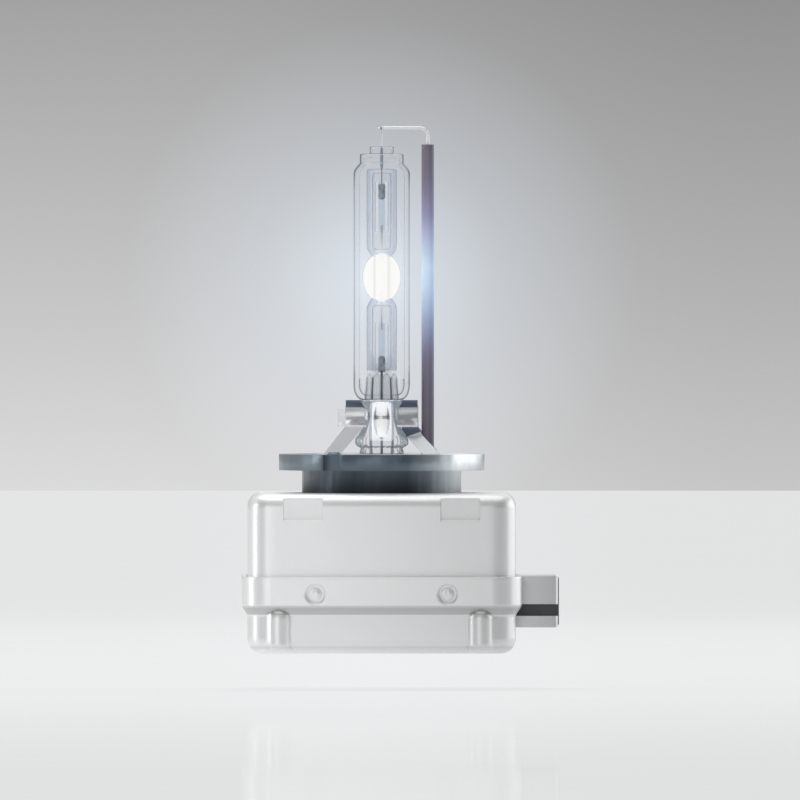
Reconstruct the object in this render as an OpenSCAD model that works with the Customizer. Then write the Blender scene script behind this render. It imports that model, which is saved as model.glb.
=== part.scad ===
// Gas-discharge headlight lamp with a built-in igniter. A quartz burner stands in an outer bulb on a glass
// stem, a sheet-metal clamp on four legs holds it to a keyed cap, and the cap sits on a screened igniter case
// with a connector on one side.
// The origin is on the lamp axis at the front face of the cap's flange. +Z points to the lamp's tip, +X to
// the connector. Sizes are in millimetres.

/* [Cap] */
// Outer diameter of the flange, which centres the lamp in its holder
flange_d = 32; // [30:0.5:40]
// Thickness of the flange
flange_t = 2.5; // [2:0.1:4]
// Diameter of the barrel between the flange and the case
barrel_d = 24.8; // [23:0.2:28]
// Height of the barrel
barrel_h = 3.5; // [2.5:0.1:6]
// Step in from the barrel to the spigot that goes through the top of the case
spigot_step = 1.4; // [1:0.1:2]
// Wall of the barrel and spigot
cap_wall = 1.8; // [1.4:0.1:2.2]
// Diameter of the post in the middle of the cap, which insulates the high-voltage lead
post_d = 10; // [9:0.5:11]
// Height of the three bosses that rest on the lamp holder
boss_h = 0.4; // [0.2:0.1:0.8]
// Diameter of a boss
boss_d = 2.2; // [1.6:0.1:2.6]
// Width of the keying notch in the flange's edge
notch_w = 3; // [2:0.5:5]
// Depth of the keying notch
notch_depth = 0.8; // [0.5:0.1:1.2]

/* [Burner] */
// Height of the arc's middle above the tops of the bosses
light_centre = 27.1; // [26:0.1:33]
// Distance between the electrode tips
arc_gap = 4.2; // [3.5:0.1:4.6]
// Outer diameter of the discharge vessel
vessel_d = 6; // [5:0.1:6.6]
// Outer length of the discharge vessel
vessel_l = 7.6; // [7:0.1:9]
// Diameter of the discharge space
cavity_d = 2.8; // [2.4:0.1:3.6]
// Outer diameter of the burner's two tubes
tube_d = 4.6; // [4.2:0.1:5]
// Bore of the burner's two tubes
tube_bore = 2.9; // [2.6:0.1:3.2]
// Width of a sealing foil
foil_w = 2.1; // [1.6:0.1:2.4]
// Length of a sealing foil
foil_l = 7.7; // [6:0.1:8]
// Diameter of an electrode
electrode_d = 0.3; // [0.25:0.05:0.4]
// Diameter of a lead
lead_d = 0.44; // [0.3:0.02:0.6]

/* [Outer bulb] */
// Outer diameter of the outer bulb
bulb_d = 8.8; // [8.4:0.1:11]
// Wall of the outer bulb
bulb_wall = 0.8; // [0.6:0.1:1]
// Diameter of the stem's waist, where the clamp grips
waist_d = 4.56; // [4.4:0.02:5.6]
// Height of the stem above the flange
stem_h = 8.4; // [8:0.1:10]
// Diameter of the stem's beaded foot
foot_d = 8.4; // [8:0.1:10]

/* [Return lead] */
// Space between the outer bulb and the ceramic sleeve
sleeve_gap = 1.8; // [1.2:0.1:3]
// Outer diameter of the ceramic sleeve
sleeve_d = 1.95; // [1.6:0.05:2.6]
// Bore of the ceramic sleeve
sleeve_bore = 0.8; // [0.7:0.05:1]
// Diameter of the return wire
wire_d = 0.5; // [0.4:0.05:0.6]
// Radius of the return wire's bend
wire_bend = 1.2; // [0.8:0.1:2]

/* [Clamp] */
// Thickness of the clamp and its legs
strip_t = 0.3; // [0.2:0.05:0.4]
// Space between the end of a clamp wing and the ceramic sleeve
wing_clear = 0.6; // [0.3:0.1:1.2]
// Height of a clamp wing
wing_h = 4.2; // [3.8:0.1:4.6]
// Width of a leg
leg_w = 2.6; // [2:0.1:3]

/* [Case] */
// Width of the case body
case_w = 41.8; // [38:0.5:52]
// Depth of the case body
case_l = 41.8; // [40:0.5:52]
// Height of the case
case_h = 24.9; // [24.5:0.1:32]
// Thickness of the case's sheet
sheet = 0.8; // [0.6:0.1:1]
// Clearance between the can and the pan's rim round it
rim_gap = 0.1; // [0.05:0.05:0.4]
// Distance from the top of the case down to the rim
rim_down = 12.9; // [12:0.1:14]
// Height of the straight part of the rim
rim_h = 4.5; // [4:0.1:6]
// Height of the slope under the rim
rim_slope = 1.4; // [1:0.1:2]
// Radius of the case's upright corners
corner_r = 3.6; // [3:0.1:6]
// Radius of the case's top and bottom edges
edge_r = 2.3; // [1:0.1:2.6]

/* [Connector] */
// How far the connector stands out from the case body
plug_out = 6.7; // [5:0.1:10]
// Width of the connector with its screens
plug_w = 22; // [20:0.5:26]
// Height of the connector with its screens
plug_h = 8; // [7.6:0.1:9]
// Distance between neighbouring pins
pin_pitch = 6; // [5.6:0.1:6.5]
// Diameter of a pin
pin_d = 1.2; // [1:0.1:1.5]

/* [Hidden] */
$fn = 64;

eps = 0.01;      // overshoot of a cut
slip = 0.1;      // clearance round a part that slides in
hairline = 0.02; // clearance round metal sealed in glass

// Levels of the cap and case
boss_top = boss_h;
case_top = -flange_t - barrel_h;
case_bottom = case_top - case_h;
rim_top = case_top - rim_down;
rim_bottom = rim_top - rim_h;
slope_bottom = rim_bottom - rim_slope;
rim_out = sheet + rim_gap;
spigot_d = barrel_d - 2 * spigot_step;
spigot_bottom = case_top - 4;
post_bottom = spigot_bottom - 1.5;
post_bore = 5;
contact_d = lead_d + 1.1;

// The cap's bosses and notch, as angles from +X
boss_angles = [-122, 56, 122];
notch_angle = -119.5;
boss_ring_r = flange_d / 2 - notch_depth - boss_d / 2 - 0.1;

// Levels of the burner, from the arc's middle outwards
arc_z = boss_top + light_centre;
foil_offset = 11;
tube_top = arc_z + 16.9;
tube_end_t = 0.5;
plug_end = vessel_l / 2 + 0.4;
seal_t = 1.3;
seal_reach = foil_l / 2 + 0.9;
skirt_top = stem_h + 3.9;
skirt_bottom = stem_h;
skirt_d = tube_d + 0.6;
flutes = 10;
tail_d = 3.7;
tail_bore = 2.6;
bush_r = 0.85;
bush_neck_r = 0.62;
foil_t = 0.08;
foil_lap = 1.8; // how far a lead runs on along its foil
lead_thin_d = lead_d - 0.14;

// The outer bulb's stepped tip
bulb_top = arc_z + 20.4;
tip_d = 3.7;
tip_h = 1.1;
shoulder_d = 6.8;
shoulder_h = 1.3;
taper_h = 1.8;
bulb_bottom = skirt_bottom;

// The stem
cup_d = bulb_d - 1.4;
stem_bore = tail_d;
foot_top = 2.5;
foot_neck_d = foot_d - 2;
foot_step = 0.9;
foot_flare = (foot_d - waist_d) / 2 - 0.27;
spigot_glass_d = 4.8;
spigot_glass_l = 2.5;
waist_z = stem_h - 2.4;

// The return lead
return_x = bulb_d / 2 + sleeve_gap + sleeve_d / 2;
wire_top = bulb_top + 2.9;
sleeve_top = bulb_top + 0.3;
sleeve_socket = 1.2;
terminal_z = spigot_bottom + 0.8;
terminal_w = 1.5;
terminal_t = 0.5;
terminal_back = 0.8;
wire_bottom = terminal_z - 1;

// The clamp and legs
gutter_r = wing_h / 2;
wing_z = stem_h - gutter_r;
wing_reach = return_x - sleeve_d / 2 - wing_clear;
gutter_y = -1.5;
wing_bottom = wing_z - gutter_r;
tab_reach = 1.3;
leg_top_x = wing_reach - 1.2;
leg_lip_y = gutter_y - 0.6;
leg_knee_x = leg_top_x + 0.7;
leg_knee_y = -1.2;
leg_knee_z = wing_bottom - 1.4;
leg_foot_x = return_x + 0.55;
leg_foot_y = 3.6;
ring_bore = foot_d + 2;
ring_d = 2 * norm([leg_foot_x + leg_w / 2, leg_foot_y]) + 1;
ring_t = 0.5;
ring_hole_d = sleeve_d + 0.8;

// The igniter's plastic housing
house_gap = 0.2;
house_wall = 1.2;
house_top_t = 1.5;
house_w = case_w - 2 * sheet - 2 * house_gap;
house_l = case_l - 2 * sheet - 2 * house_gap;
house_top = case_top - sheet;
cover_t = 1.3;
house_bottom = case_bottom + sheet + cover_t;
house_edge_r = max(edge_r - sheet, 0.2) + 0.1;
house_corner_r = corner_r - sheet - house_gap;
collar_bottom = spigot_bottom - 0.5;
cover_inset = 0.9;
cover_edge_r = 1;
cover_dish = 0.5;
in_w = house_w / 2 - house_wall;
in_l = house_l / 2 - house_wall;

// The circuit board
board_t = 1;
board_top = min(house_bottom + 3.2, rim_top - plug_h / 2 - pin_d / 2 - slip);
board_edge = -1;
tail_x = case_w / 2 - 3.4;
board_x = tail_x + 1.1;
board_wing_x = tail_x - 1.4;

// The transformer lies along X behind the lamp axis
trafo_y = 9;
flange_r = 6.75;
trafo_z = post_bottom - 1.4 - flange_r;
bobbin_l = 28;
bobbin_tube_d = 8;
bobbin_flange_t = 1;
chambers = 5;
winding_d = 11.5;
core_d = 6;
core_over = 0.8;
lead_z = post_bottom - 0.9;
hv_x = -bobbin_l / 2 + bobbin_l / chambers / 2;

// The parts on the board
gap_pos = [-9.5, -9, board_top + 4.3];
gap_d = 8;
gap_l = 4.5;
gap_cap_t = 1;
gap_cap_d = 7.4;
cap_size = [13, 6, 11];
cap_pos = [7.5, -12.5, board_top];
res_pos = [5, -5, board_top + 1.6];
res_d = 2.4;
res_l = 6.3;
pin_lead_d = 0.7;
lead_through = 0.8;

// The connector
screen_t = 0.4;
plug_wall = 1.2;
plug_top = rim_top;
plug_bottom = plug_top - plug_h;
plug_z = (plug_top + plug_bottom) / 2;
plug_back = case_w / 2 - 2.1;
plug_front = case_w / 2 + plug_out;
body_w = plug_w - 2 * screen_t;
body_h = plug_h - 2 * screen_t;
socket_back = plug_back + 1.5;
screen_upper_h = 4.4;
screen_lower_h = 1.8;
pin_tip = plug_front - 1.5;
pin_tail = 0.7; // a pin's tail, as a share of the pin's diameter

// The case's pressed details
pocket_w = 6.1;
pocket_h = 2.8;
pocket_down = 1;
pocket_x = case_w / 2 - 8.6;
pocket_depth = 0.5;
rivet_in = 10.6;
rivet_z = rim_bottom + 1.8;
dish_r = 1.7;
dish_depth = 0.3;
rivet_head_r = 1;
rivet_head_h = 0.3;
rivet_shank_r = 0.5;
rib_x = [4.8 - case_w / 2, case_w / 2 - 5.5];
rib_r = 2.1;
rib_sunk = 0.8;
rib_dome = 1.5;
rib_top = rim_bottom - 0.3;

// ---------- Helpers ----------

// Points of an ellipse's arc about [0, z], with half axes a and b
function arc_points(a, b, z, from, to, steps = 16) =
    [for (i = [0:steps]) let (t = from + (to - from) * i / steps) [a * cos(t), z + b * sin(t)]];

module tube(d, bore, z0, z1) {
    translate([0, 0, z0]) difference() {
        cylinder(d = d, h = z1 - z0);
        translate([0, 0, -eps]) cylinder(d = bore, h = z1 - z0 + 2 * eps);
    }
}

// A round rod between two points
module rod(p, q, d) {
    v = q - p;
    translate(p) rotate([0, acos(v.z / norm(v)), atan2(v.y, v.x)]) cylinder(d = d, h = norm(v));
}

// A box given by its lowest and highest corners
module span(low, high) {
    translate(low) cube(high - low);
}

// A 2D outline that is carried round a rectangle with corner centres w and l apart. The outline is drawn
// outwards from the corner's centre, and z0 to z1 is filled inside it.
module carried_round(w, l, z0, z1) {
    span([-w / 2, -l / 2, z0], [w / 2, l / 2, z1]);
    for (turn = [0:3]) {
        along = turn % 2 == 0 ? l : w;
        across = turn % 2 == 0 ? w : l;
        rotate(90 * turn) {
            translate([across / 2, along / 2, 0]) rotate_extrude(angle = 90) children();
            translate([across / 2, along / 2, 0]) rotate([90, 0, 0]) linear_extrude(along) children();
        }
    }
}

// Half of a side view, with a round edge at its top or bottom
module edge_outline(r, z0, z1, top_r = 0, bottom_r = 0) {
    translate([0, z0 + bottom_r]) square([r, z1 - z0 - top_r - bottom_r]);
    if (top_r > 0) outline_corner(r, z1 - top_r, top_r, 1);
    if (bottom_r > 0) outline_corner(r, z0 + bottom_r, bottom_r, -1);
}

module outline_corner(r, z, edge, side) {
    low = side > 0 ? z : z - edge;
    translate([0, low]) square([r - edge, edge]);
    intersection() {
        translate([r - edge, z]) circle(edge);
        translate([r - edge, low]) square(edge);
    }
}

// An upright block with round corners, and round edges at the top or bottom
module soft_block(w, l, z0, z1, r, top_r = 0, bottom_r = 0) {
    carried_round(w - 2 * r, l - 2 * r, z0, z1) edge_outline(r, z0, z1, top_r, bottom_r);
}

// ---------- Burner ----------

module burner() {
    half = vessel_l / 2;
    join = asin(sqrt(1 - pow(tube_d / vessel_d, 2)));
    color("aliceblue") difference() {
        rotate_extrude() polygon(concat(
            [[0, skirt_bottom - 6.3], [tail_d / 2, skirt_bottom - 6.3], [tail_d / 2, skirt_bottom],
             [skirt_d / 2, skirt_bottom], [tube_d / 2, skirt_top]],
            arc_points(vessel_d / 2, half, arc_z, -join, join),
            [[tube_d / 2, tube_top - 0.5], [tube_d / 2 - 0.5, tube_top], [0, tube_top]]
        ));
        rotate_extrude() polygon(arc_points(cavity_d / 2, half - 1.2, arc_z, -90, 90));
        for (side = [-1, 1]) translate([0, 0, arc_z]) mirror([0, 0, side < 0 ? 1 : 0]) seal_bore(side);
        translate([0, 0, skirt_bottom - 6.3 - eps]) cylinder(d = tail_bore, h = 6.3 + eps);
        for (i = [0:flutes - 1]) rotate(360 / flutes * (i + 0.5))
            rod([skirt_d / 2 + 0.1, 0, skirt_bottom + 0.3], [tube_d / 2 + 0.1, 0, skirt_top - 0.5], 0.5);
    }
}

// The bore of one tube, leaving a press seal round the foil
module seal_bore(side) {
    reach = (side > 0 ? tube_top - tube_end_t : 2 * arc_z - skirt_bottom) - arc_z;
    difference() {
        translate([0, 0, plug_end]) cylinder(d = tube_bore, h = reach - plug_end);
        span([-tube_bore, -seal_t / 2, foil_offset - seal_reach],
             [tube_bore, seal_t / 2, foil_offset + seal_reach]);
    }
    foil_slot = foil_w + 2 * hairline;
    lead_slot = lead_d + 2 * hairline;
    span([-foil_slot / 2, -foil_t / 2 - hairline, foil_offset - foil_l / 2 - hairline],
         [foil_slot / 2, foil_t / 2 + hairline, foil_offset + foil_l / 2 + hairline]);
    cylinder(d = electrode_d + 2 * hairline, h = foil_offset - foil_l / 2 + 1.1);
    translate([0, 0, foil_offset + foil_l / 2 - 1.9]) cylinder(d = lead_slot, h = 20);
}

module electrode(side) {
    tip = arc_gap / 2;
    color("dimgray") translate([0, 0, arc_z]) mirror([0, 0, side < 0 ? 1 : 0]) difference() {
        translate([0, 0, tip]) cylinder(d = electrode_d, h = foil_offset - foil_l / 2 + 1 - tip);
        foil_space();
    }
}

module foil(side) {
    color("slategray") translate([0, 0, arc_z]) mirror([0, 0, side < 0 ? 1 : 0]) foil_space();
}

// The foil's own solid, on the upper side of the arc's middle
module foil_space() {
    translate([0, 0, foil_offset]) cube([foil_w, foil_t, foil_l], center = true);
}

// The upper lead runs from its foil up to the return wire
module upper_lead() {
    bottom = arc_z + foil_offset + foil_l / 2 - foil_lap;
    thin_top = wire_top - wire_d / 2;
    color("gray") difference() {
        union() {
            translate([0, 0, bottom]) cylinder(d = lead_d, h = bulb_top - bottom);
            translate([0, 0, bulb_top]) cylinder(d = lead_thin_d, h = thin_top - bulb_top);
        }
        translate([0, 0, arc_z]) foil_space();
    }
}

// The lower lead runs from its foil down to the contact in the cap
module lower_lead() {
    top = arc_z - foil_offset - foil_l / 2 + foil_lap;
    color("gray") difference() {
        translate([0, 0, post_bottom]) cylinder(d = lead_d, h = top - post_bottom);
        translate([0, 0, arc_z]) mirror([0, 0, 1]) foil_space();
    }
}

// A steatite bush keeps the lower lead in the middle of the burner's tail
module lead_bush() {
    bush_top = stem_h + 0.1;
    color("white") difference() {
        rotate_extrude() polygon([
            [0, 2.6], [0.65, 2.6], [bush_r, waist_z - 0.9], [bush_r, waist_z - 0.6],
            [bush_neck_r, waist_z - 0.6], [bush_neck_r, waist_z], [bush_r, waist_z],
            [bush_r, bush_top], [0, bush_top]
        ]);
        translate([0, 0, 2]) cylinder(d = lead_d, h = stem_h);
    }
}

module lead_collar() {
    color("silver") tube(tail_bore - slip, 2 * bush_neck_r, waist_z - 0.58, waist_z - 0.02);
}

// ---------- Outer bulb ----------

module outer_bulb() {
    r = bulb_d / 2;
    inner_r = r - bulb_wall;
    shoulder_z = bulb_top - tip_h;
    taper_z = shoulder_z - shoulder_h;
    body_z = taper_z - taper_h;
    neck_r = skirt_d / 2;
    lip_r = neck_r + 0.5;
    lead_hole = lead_d / 2;
    color("lightcyan") rotate_extrude() polygon(concat(
        [[lead_hole, bulb_top], [tip_d / 2, bulb_top], [tip_d / 2, shoulder_z], [shoulder_d / 2, shoulder_z],
         [shoulder_d / 2, taper_z], [r, body_z]],
        [for (p = arc_points(r - lip_r, 2, bulb_bottom + 2, 0, -90, 10)) p + [lip_r, 0]],
        [[neck_r, bulb_bottom]],
        [for (p = arc_points(inner_r - neck_r, 1.4, bulb_bottom + 2.2, -90, 0, 10)) p + [neck_r, 0]],
        [[inner_r, body_z - 0.2], [shoulder_d / 2 - bulb_wall, taper_z - 0.1],
         [shoulder_d / 2 - bulb_wall, shoulder_z - 0.5], [tip_d / 2 - 0.5, shoulder_z - 0.5],
         [tip_d / 2 - 0.5, bulb_top - 0.6], [lead_hole, bulb_top - 0.6]]
    ));
}

// The hollow-ground glass stem that the bulb stands on, with a beaded foot and a spigot in the cap
module glass_stem() {
    bead_r = (foot_top - foot_step) / 2;
    color("aliceblue") rotate_extrude() polygon(concat(
        [[stem_bore / 2, -spigot_glass_l], [spigot_glass_d / 2, -spigot_glass_l], [spigot_glass_d / 2, 0],
         [foot_neck_d / 2 + 0.3, 0], [foot_neck_d / 2, foot_step]],
        [for (p = arc_points(bead_r, bead_r, foot_step + bead_r, -80, 30, 8)) p + [foot_d / 2 - bead_r, 0]],
        stem_side(),
        [[skirt_d / 2, stem_h], [skirt_d / 2 - 0.4, stem_h - 0.3], [stem_bore / 2, stem_h - 0.6]]
    ));
}

// The side of the stem, from the top of its foot over the waist to its top edge
function stem_side(r = waist_d / 2, low = waist_z - foot_top, high = stem_h - waist_z) = concat(
    [for (i = [0:8]) [r + foot_flare * pow(1 - i / 8, 1.4), foot_top + low * i / 8]],
    [for (i = [1:8]) [r + (cup_d / 2 - r) * pow(i / 8, 2), waist_z + high * i / 8]]
);

// ---------- Return lead ----------

module return_wire() {
    color("silver") {
        translate([return_x, 0, wire_bottom]) cylinder(d = wire_d, h = wire_top - wire_bend - wire_bottom);
        translate([return_x - wire_bend, 0, wire_top - wire_bend]) rotate([90, 0, 0])
            rotate_extrude(angle = 90) translate([wire_bend, 0]) circle(d = wire_d);
        rod([return_x - wire_bend, 0, wire_top], [-0.6, 0, wire_top], wire_d);
    }
}

module ceramic_sleeve() {
    color("dimgray") translate([return_x, 0, 0]) tube(sleeve_d, sleeve_bore, -sleeve_socket, sleeve_top);
}

// The weld between the upper lead and the return wire
module return_weld() {
    color("lightgray") difference() {
        translate([0, 0, wire_top]) rotate([0, 90, 0]) cylinder(d = wire_d + 0.3, h = 0.8, center = true);
        translate([0, 0, wire_top]) rotate([0, 90, 0]) cylinder(d = wire_d, h = 2, center = true);
        translate([0, 0, wire_top - 2]) cylinder(d = lead_thin_d, h = 2);
    }
}

// ---------- Clamp and legs ----------

// The clamp: two trough-shaped wings joined by a band round the back of the stem's waist
module bulb_clamp() {
    color("lightsteelblue") difference() {
        union() {
            translate([0, gutter_y, wing_z]) difference() {
                rotate([0, 90, 0]) cylinder(r = gutter_r, h = 2 * wing_reach, center = true);
                rotate([0, 90, 0]) cylinder(r = gutter_r - strip_t, h = 2 * wing_reach + 1, center = true);
                span([-wing_reach - 1, -gutter_r - 1, -gutter_r - 1], [wing_reach + 1, 0, gutter_r + 1]);
            }
            tube(waist_d + 2 * strip_t + 0.2, waist_d, wing_z - 1, wing_z + 0.8);
            clamp_tab();
        }
        stem_space(0);
        span([-waist_d / 2 + slip, -10, 0], [waist_d / 2 - slip, 0, 20]);
    }
}

// The tab beyond the left wing, with its hole
module clamp_tab() {
    low_y = gutter_y + gutter_r - strip_t;
    high_y = low_y + strip_t;
    end_x = -wing_reach - tab_reach;
    hole = [end_x + 0.45, low_y - 1, wing_bottom + 0.5];
    difference() {
        union() {
            span([end_x, low_y, wing_bottom + 0.1], [-wing_reach + 0.2, high_y, wing_z]);
            span([end_x, low_y, wing_z - 1], [-wing_reach - 0.2, high_y, wing_z + 0.7]);
        }
        translate(hole) rotate([-90, 0, 0]) cylinder(r = 0.3, h = 3);
    }
}

// What the clamp and the legs leave free round the stem
module stem_space(gap) {
    side = [for (p = stem_side()) p + [gap, 0]];
    rotate_extrude() polygon(concat([[0, foot_top]], side, [[cup_d, stem_h + 4], [0, stem_h + 4]]));
}

// One leg. A front leg starts under the clamp's lip, and a back leg starts on the clamp's back. The front leg
// on the sleeve's side is folded at a knee.
module leg(side, face) {
    foot = [leg_foot_x, face * leg_foot_y, 0];
    lip = [leg_top_x, leg_lip_y + strip_t / 2, wing_bottom - strip_t];
    knee = [leg_knee_x, leg_knee_y, leg_knee_z];
    heel = [leg_top_x, gutter_y + gutter_r + strip_t / 2, wing_bottom];
    color("silver") mirror([side < 0 ? 1 : 0, 0, 0]) difference() {
        if (face < 0) union() {
            translate([lip.x - leg_w / 2, leg_lip_y, lip.z]) cube([leg_w, gutter_y - leg_lip_y, strip_t]);
            leg_pad(0, 1);
            if (side > 0) {
                strip(lip, knee);
                strip(knee, foot);
            } else strip(lip, foot);
        } else union() {
            strip(heel + [0, 0, wing_z - wing_bottom], heel);
            leg_pad(1, 0);
            strip(heel, foot);
        }
        stem_space(slip);
    }
}

// The part of a leg that lies round the outside of the clamp's trough, below it or above its back
module leg_pad(low_y, low_z) {
    translate([leg_top_x, gutter_y, wing_z]) difference() {
        rotate([0, 90, 0]) cylinder(r = gutter_r + strip_t, h = leg_w, center = true);
        rotate([0, 90, 0]) cylinder(r = gutter_r, h = leg_w + 1, center = true);
        span([-leg_w, -5, -5], [leg_w, low_y * 1.2, 5]);
        if (low_z > 0) {
            span([-leg_w, -5, -5], [leg_w, 0, 5]);
            span([-leg_w, 1.2, -5], [leg_w, 5, 5]);
            span([-leg_w, -5, 0], [leg_w, 5, 5]);
        } else {
            span([-leg_w, -5, -5], [leg_w, 5, 0]);
            span([-leg_w, -5, 1.2], [leg_w, 5, 5]);
        }
    }
}

// A slanting flat strip between two points, as wide as a leg
module strip(p, q) {
    hull() for (end = [p, q]) translate(end - [leg_w / 2, strip_t / 2, 0]) cube([leg_w, strip_t, 0.05]);
}

module leg_ring() {
    color("gray") difference() {
        tube(ring_d, ring_bore, -ring_t, 0);
        translate([return_x, 0, -ring_t - eps]) cylinder(d = ring_hole_d, h = ring_t + 2 * eps);
    }
}

// ---------- Cap ----------

module cap() {
    notch_r = flange_d / 2 - notch_depth;
    color("darkslategray") difference() {
        union() {
            tube(flange_d, post_bore, -flange_t, 0);
            tube(barrel_d, barrel_d - 2 * cap_wall, case_top, -flange_t);
            tube(spigot_d, spigot_d - 2 * cap_wall, spigot_bottom, -flange_t);
            tube(post_d, post_bore, post_bottom, -flange_t);
            tube(barrel_d, spigot_d - cap_wall, case_top, case_top + 1);
            for (a = boss_angles) rotate(a) translate([boss_ring_r, 0, 0]) boss();
        }
        rotate(notch_angle)
            span([notch_r, -notch_w / 2, -flange_t - eps], [flange_d, notch_w / 2, boss_top + eps]);
        tube(ring_d, ring_bore, -ring_t, eps);
        translate([return_x, 0, 0]) {
            translate([0, 0, -sleeve_socket]) cylinder(d = sleeve_d + slip, h = 5);
            translate([0, 0, spigot_bottom - eps]) cylinder(d = wire_d + slip, h = -spigot_bottom);
            span([-terminal_w / 2 - slip, board_edge - 1 - slip, spigot_bottom - eps],
                 [terminal_w / 2 + slip, terminal_back + slip, terminal_z + slip]);
        }
        translate([0, 0, -flange_t - spigot_glass_l]) cylinder(d = spigot_glass_d + slip, h = 10);
    }
}

module boss() {
    r = boss_d / 2;
    rotate_extrude() polygon([[0, -0.2], [r, -0.2], [r, 0.05], [r - 0.35, boss_h], [0, boss_h]]);
}

module lead_insulator() {
    color("white") tube(post_bore, contact_d + 2 * slip, post_bottom, -spigot_glass_l - 0.1);
}

module lead_contact() {
    color("gold") tube(contact_d, lead_d, post_bottom - 1.5, post_bottom + 3);
}

// The terminal that takes the return wire down to the board
module return_terminal() {
    y = board_edge - 1;
    color("gold") difference() {
        union() {
            translate([return_x - terminal_w / 2, y, 0]) {
                span([0, 0, terminal_z - terminal_t], [terminal_w, terminal_back - y, terminal_z]);
                span([0, 0, board_top], [terminal_w, terminal_t, terminal_z]);
            }
        }
        translate([return_x, 0, terminal_z - 1]) cylinder(d = wire_d, h = 2);
    }
}

// ---------- Case ----------

module shield_can() {
    color("gainsboro") difference() {
        soft_block(case_w, case_l, rim_bottom + slip, case_top, corner_r, top_r = edge_r);
        soft_block(case_w - 2 * sheet, case_l - 2 * sheet, rim_bottom - 1, case_top - sheet,
                   corner_r - sheet, top_r = edge_r - sheet);
        translate([0, 0, case_top - 5]) cylinder(d = spigot_d + slip, h = 10);
        for (x = [-pocket_x, pocket_x], y = [-1, 1]) pocket(x, y);
        plug_gap(rim_bottom - 1, plug_top);
        rivet_holes();
    }
}

// The opening in the case's side for the connector
module plug_gap(z0, z1) {
    half = plug_w / 2 + slip;
    span([case_w / 2 - 3, -half, z0], [case_w / 2 + 3, half, z1]);
}

// A shallow pocket pressed into the can's front or back, close under the top edge
module pocket(x, side) {
    face = case_l / 2;
    top = case_top - pocket_down;
    mirror([0, side < 0 ? 1 : 0, 0])
        span([x - pocket_w / 2, face - pocket_depth, top - pocket_h], [x + pocket_w / 2, face + 1, top]);
}

module shield_pan() {
    color("whitesmoke") difference() {
        union() {
            pan_form(case_w, case_l, corner_r, case_bottom, edge_r);
            for (x = rib_x, y = [-1, 1]) translate([x, y * (case_l / 2 - rib_sunk), 0])
                rotate_extrude() edge_outline(rib_r, case_bottom, rib_top, top_r = rib_dome);
        }
        pan_form(case_w - 2 * sheet, case_l - 2 * sheet, corner_r - sheet, case_bottom + sheet,
                 edge_r - sheet, over = 1);
        plug_gap(plug_bottom, rim_top + 1);
        for (a = [0, 90, 180]) rivet_pair(a) translate([0, 0, -dish_depth]) cylinder(r = dish_r, h = 2);
        rivet_holes();
    }
}

// The pan's solid form: a body, a slope and a wider rim
module pan_form(w, l, r, bottom, edge, over = 0) {
    out_r = r + rim_out;
    carried_round(w - 2 * r, l - 2 * r, bottom, rim_top + over) {
        edge_outline(r, bottom, rim_top, bottom_r = edge);
        polygon([
            [0, slope_bottom], [r, slope_bottom], [out_r, rim_bottom],
            [out_r, rim_top + over], [0, rim_top + over]
        ]);
    }
}

// Two rivets side by side on the face that looks along -Y, turned to another face by angle a
module rivet_pair(a) {
    turned = a % 180 != 0;
    face = (turned ? case_w : case_l) / 2 + rim_out;
    rivet_x = (turned ? case_l : case_w) / 2 - rivet_in;
    rotate(a == 90 ? -90 : a) for (x = [-rivet_x, rivet_x])
        translate([x, -face, rivet_z]) rotate([90, 0, 0]) children();
}

module rivet_holes() {
    for (a = [0, 90, 180]) rivet_pair(a) translate([0, 0, -4]) cylinder(r = rivet_shank_r, h = 5);
}

module case_rivets() {
    grip = rim_out + sheet + 0.1;
    color("silver") for (a = [0, 90, 180]) rivet_pair(a) {
        translate([0, 0, -dish_depth]) rotate_extrude() polygon([
            [0, 0], [rivet_head_r, 0], [rivet_head_r - 0.1, 0.12], [0.5, 0.2],
            [0.35, rivet_head_h], [0, rivet_head_h]
        ]);
        translate([0, 0, -grip]) cylinder(r = rivet_shank_r, h = grip - dish_depth);
    }
}

// ---------- Igniter ----------

module igniter_housing() {
    gap = 2 * slip;
    color("dimgray") difference() {
        union() {
            difference() {
                soft_block(house_w, house_l, house_bottom, house_top, house_corner_r, top_r = house_edge_r);
                span([-in_w, -in_l, house_bottom - 1], [in_w, in_l, house_top - house_top_t]);
            }
            tube(spigot_d + 2.4, spigot_d + slip, collar_bottom, house_top - house_top_t / 2);
        }
        translate([0, 0, collar_bottom - 1]) cylinder(d = spigot_d + slip, h = 20);
        translate([in_w + 1, 0, plug_z]) cube([8, body_w + gap, body_h + gap], center = true);
        for (a = [0, 90, 180]) rivet_pair(a) translate([0, 0, -4]) cylinder(r = rivet_shank_r + 0.4, h = 5);
    }
}

module housing_cover() {
    post_r = 1.2;
    post_in = 4;
    cover_w = house_w - 2 * cover_inset;
    cover_l = house_l - 2 * cover_inset;
    color("dimgray") {
        difference() {
            soft_block(cover_w, cover_l, house_bottom - cover_t, house_bottom, house_corner_r,
                       bottom_r = cover_edge_r);
            span([-in_w + 2, -in_l + 2, house_bottom - cover_dish], [in_w - 2, in_l - 2, house_bottom + 1]);
        }
        for (x = [-in_w + post_in, in_w - post_in], y = [-in_l + post_in, board_edge - 2])
            translate([x, y, house_bottom - cover_dish - 0.1])
                cylinder(r = post_r, h = board_top - board_t - house_bottom + cover_dish + 0.1);
    }
}

module circuit_board() {
    color("seagreen") difference() {
        union() {
            span([-board_x, -in_l + 0.5, board_top - board_t], [board_x, board_edge, board_top]);
            span([board_wing_x, board_edge - 1, board_top - board_t], [board_x, pin_pitch + 2.5, board_top]);
        }
        for (p = board_holes())
            translate([p.x, p.y, board_top - 2 * board_t]) cylinder(d = p.z, h = 3 * board_t);
    }
}

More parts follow.
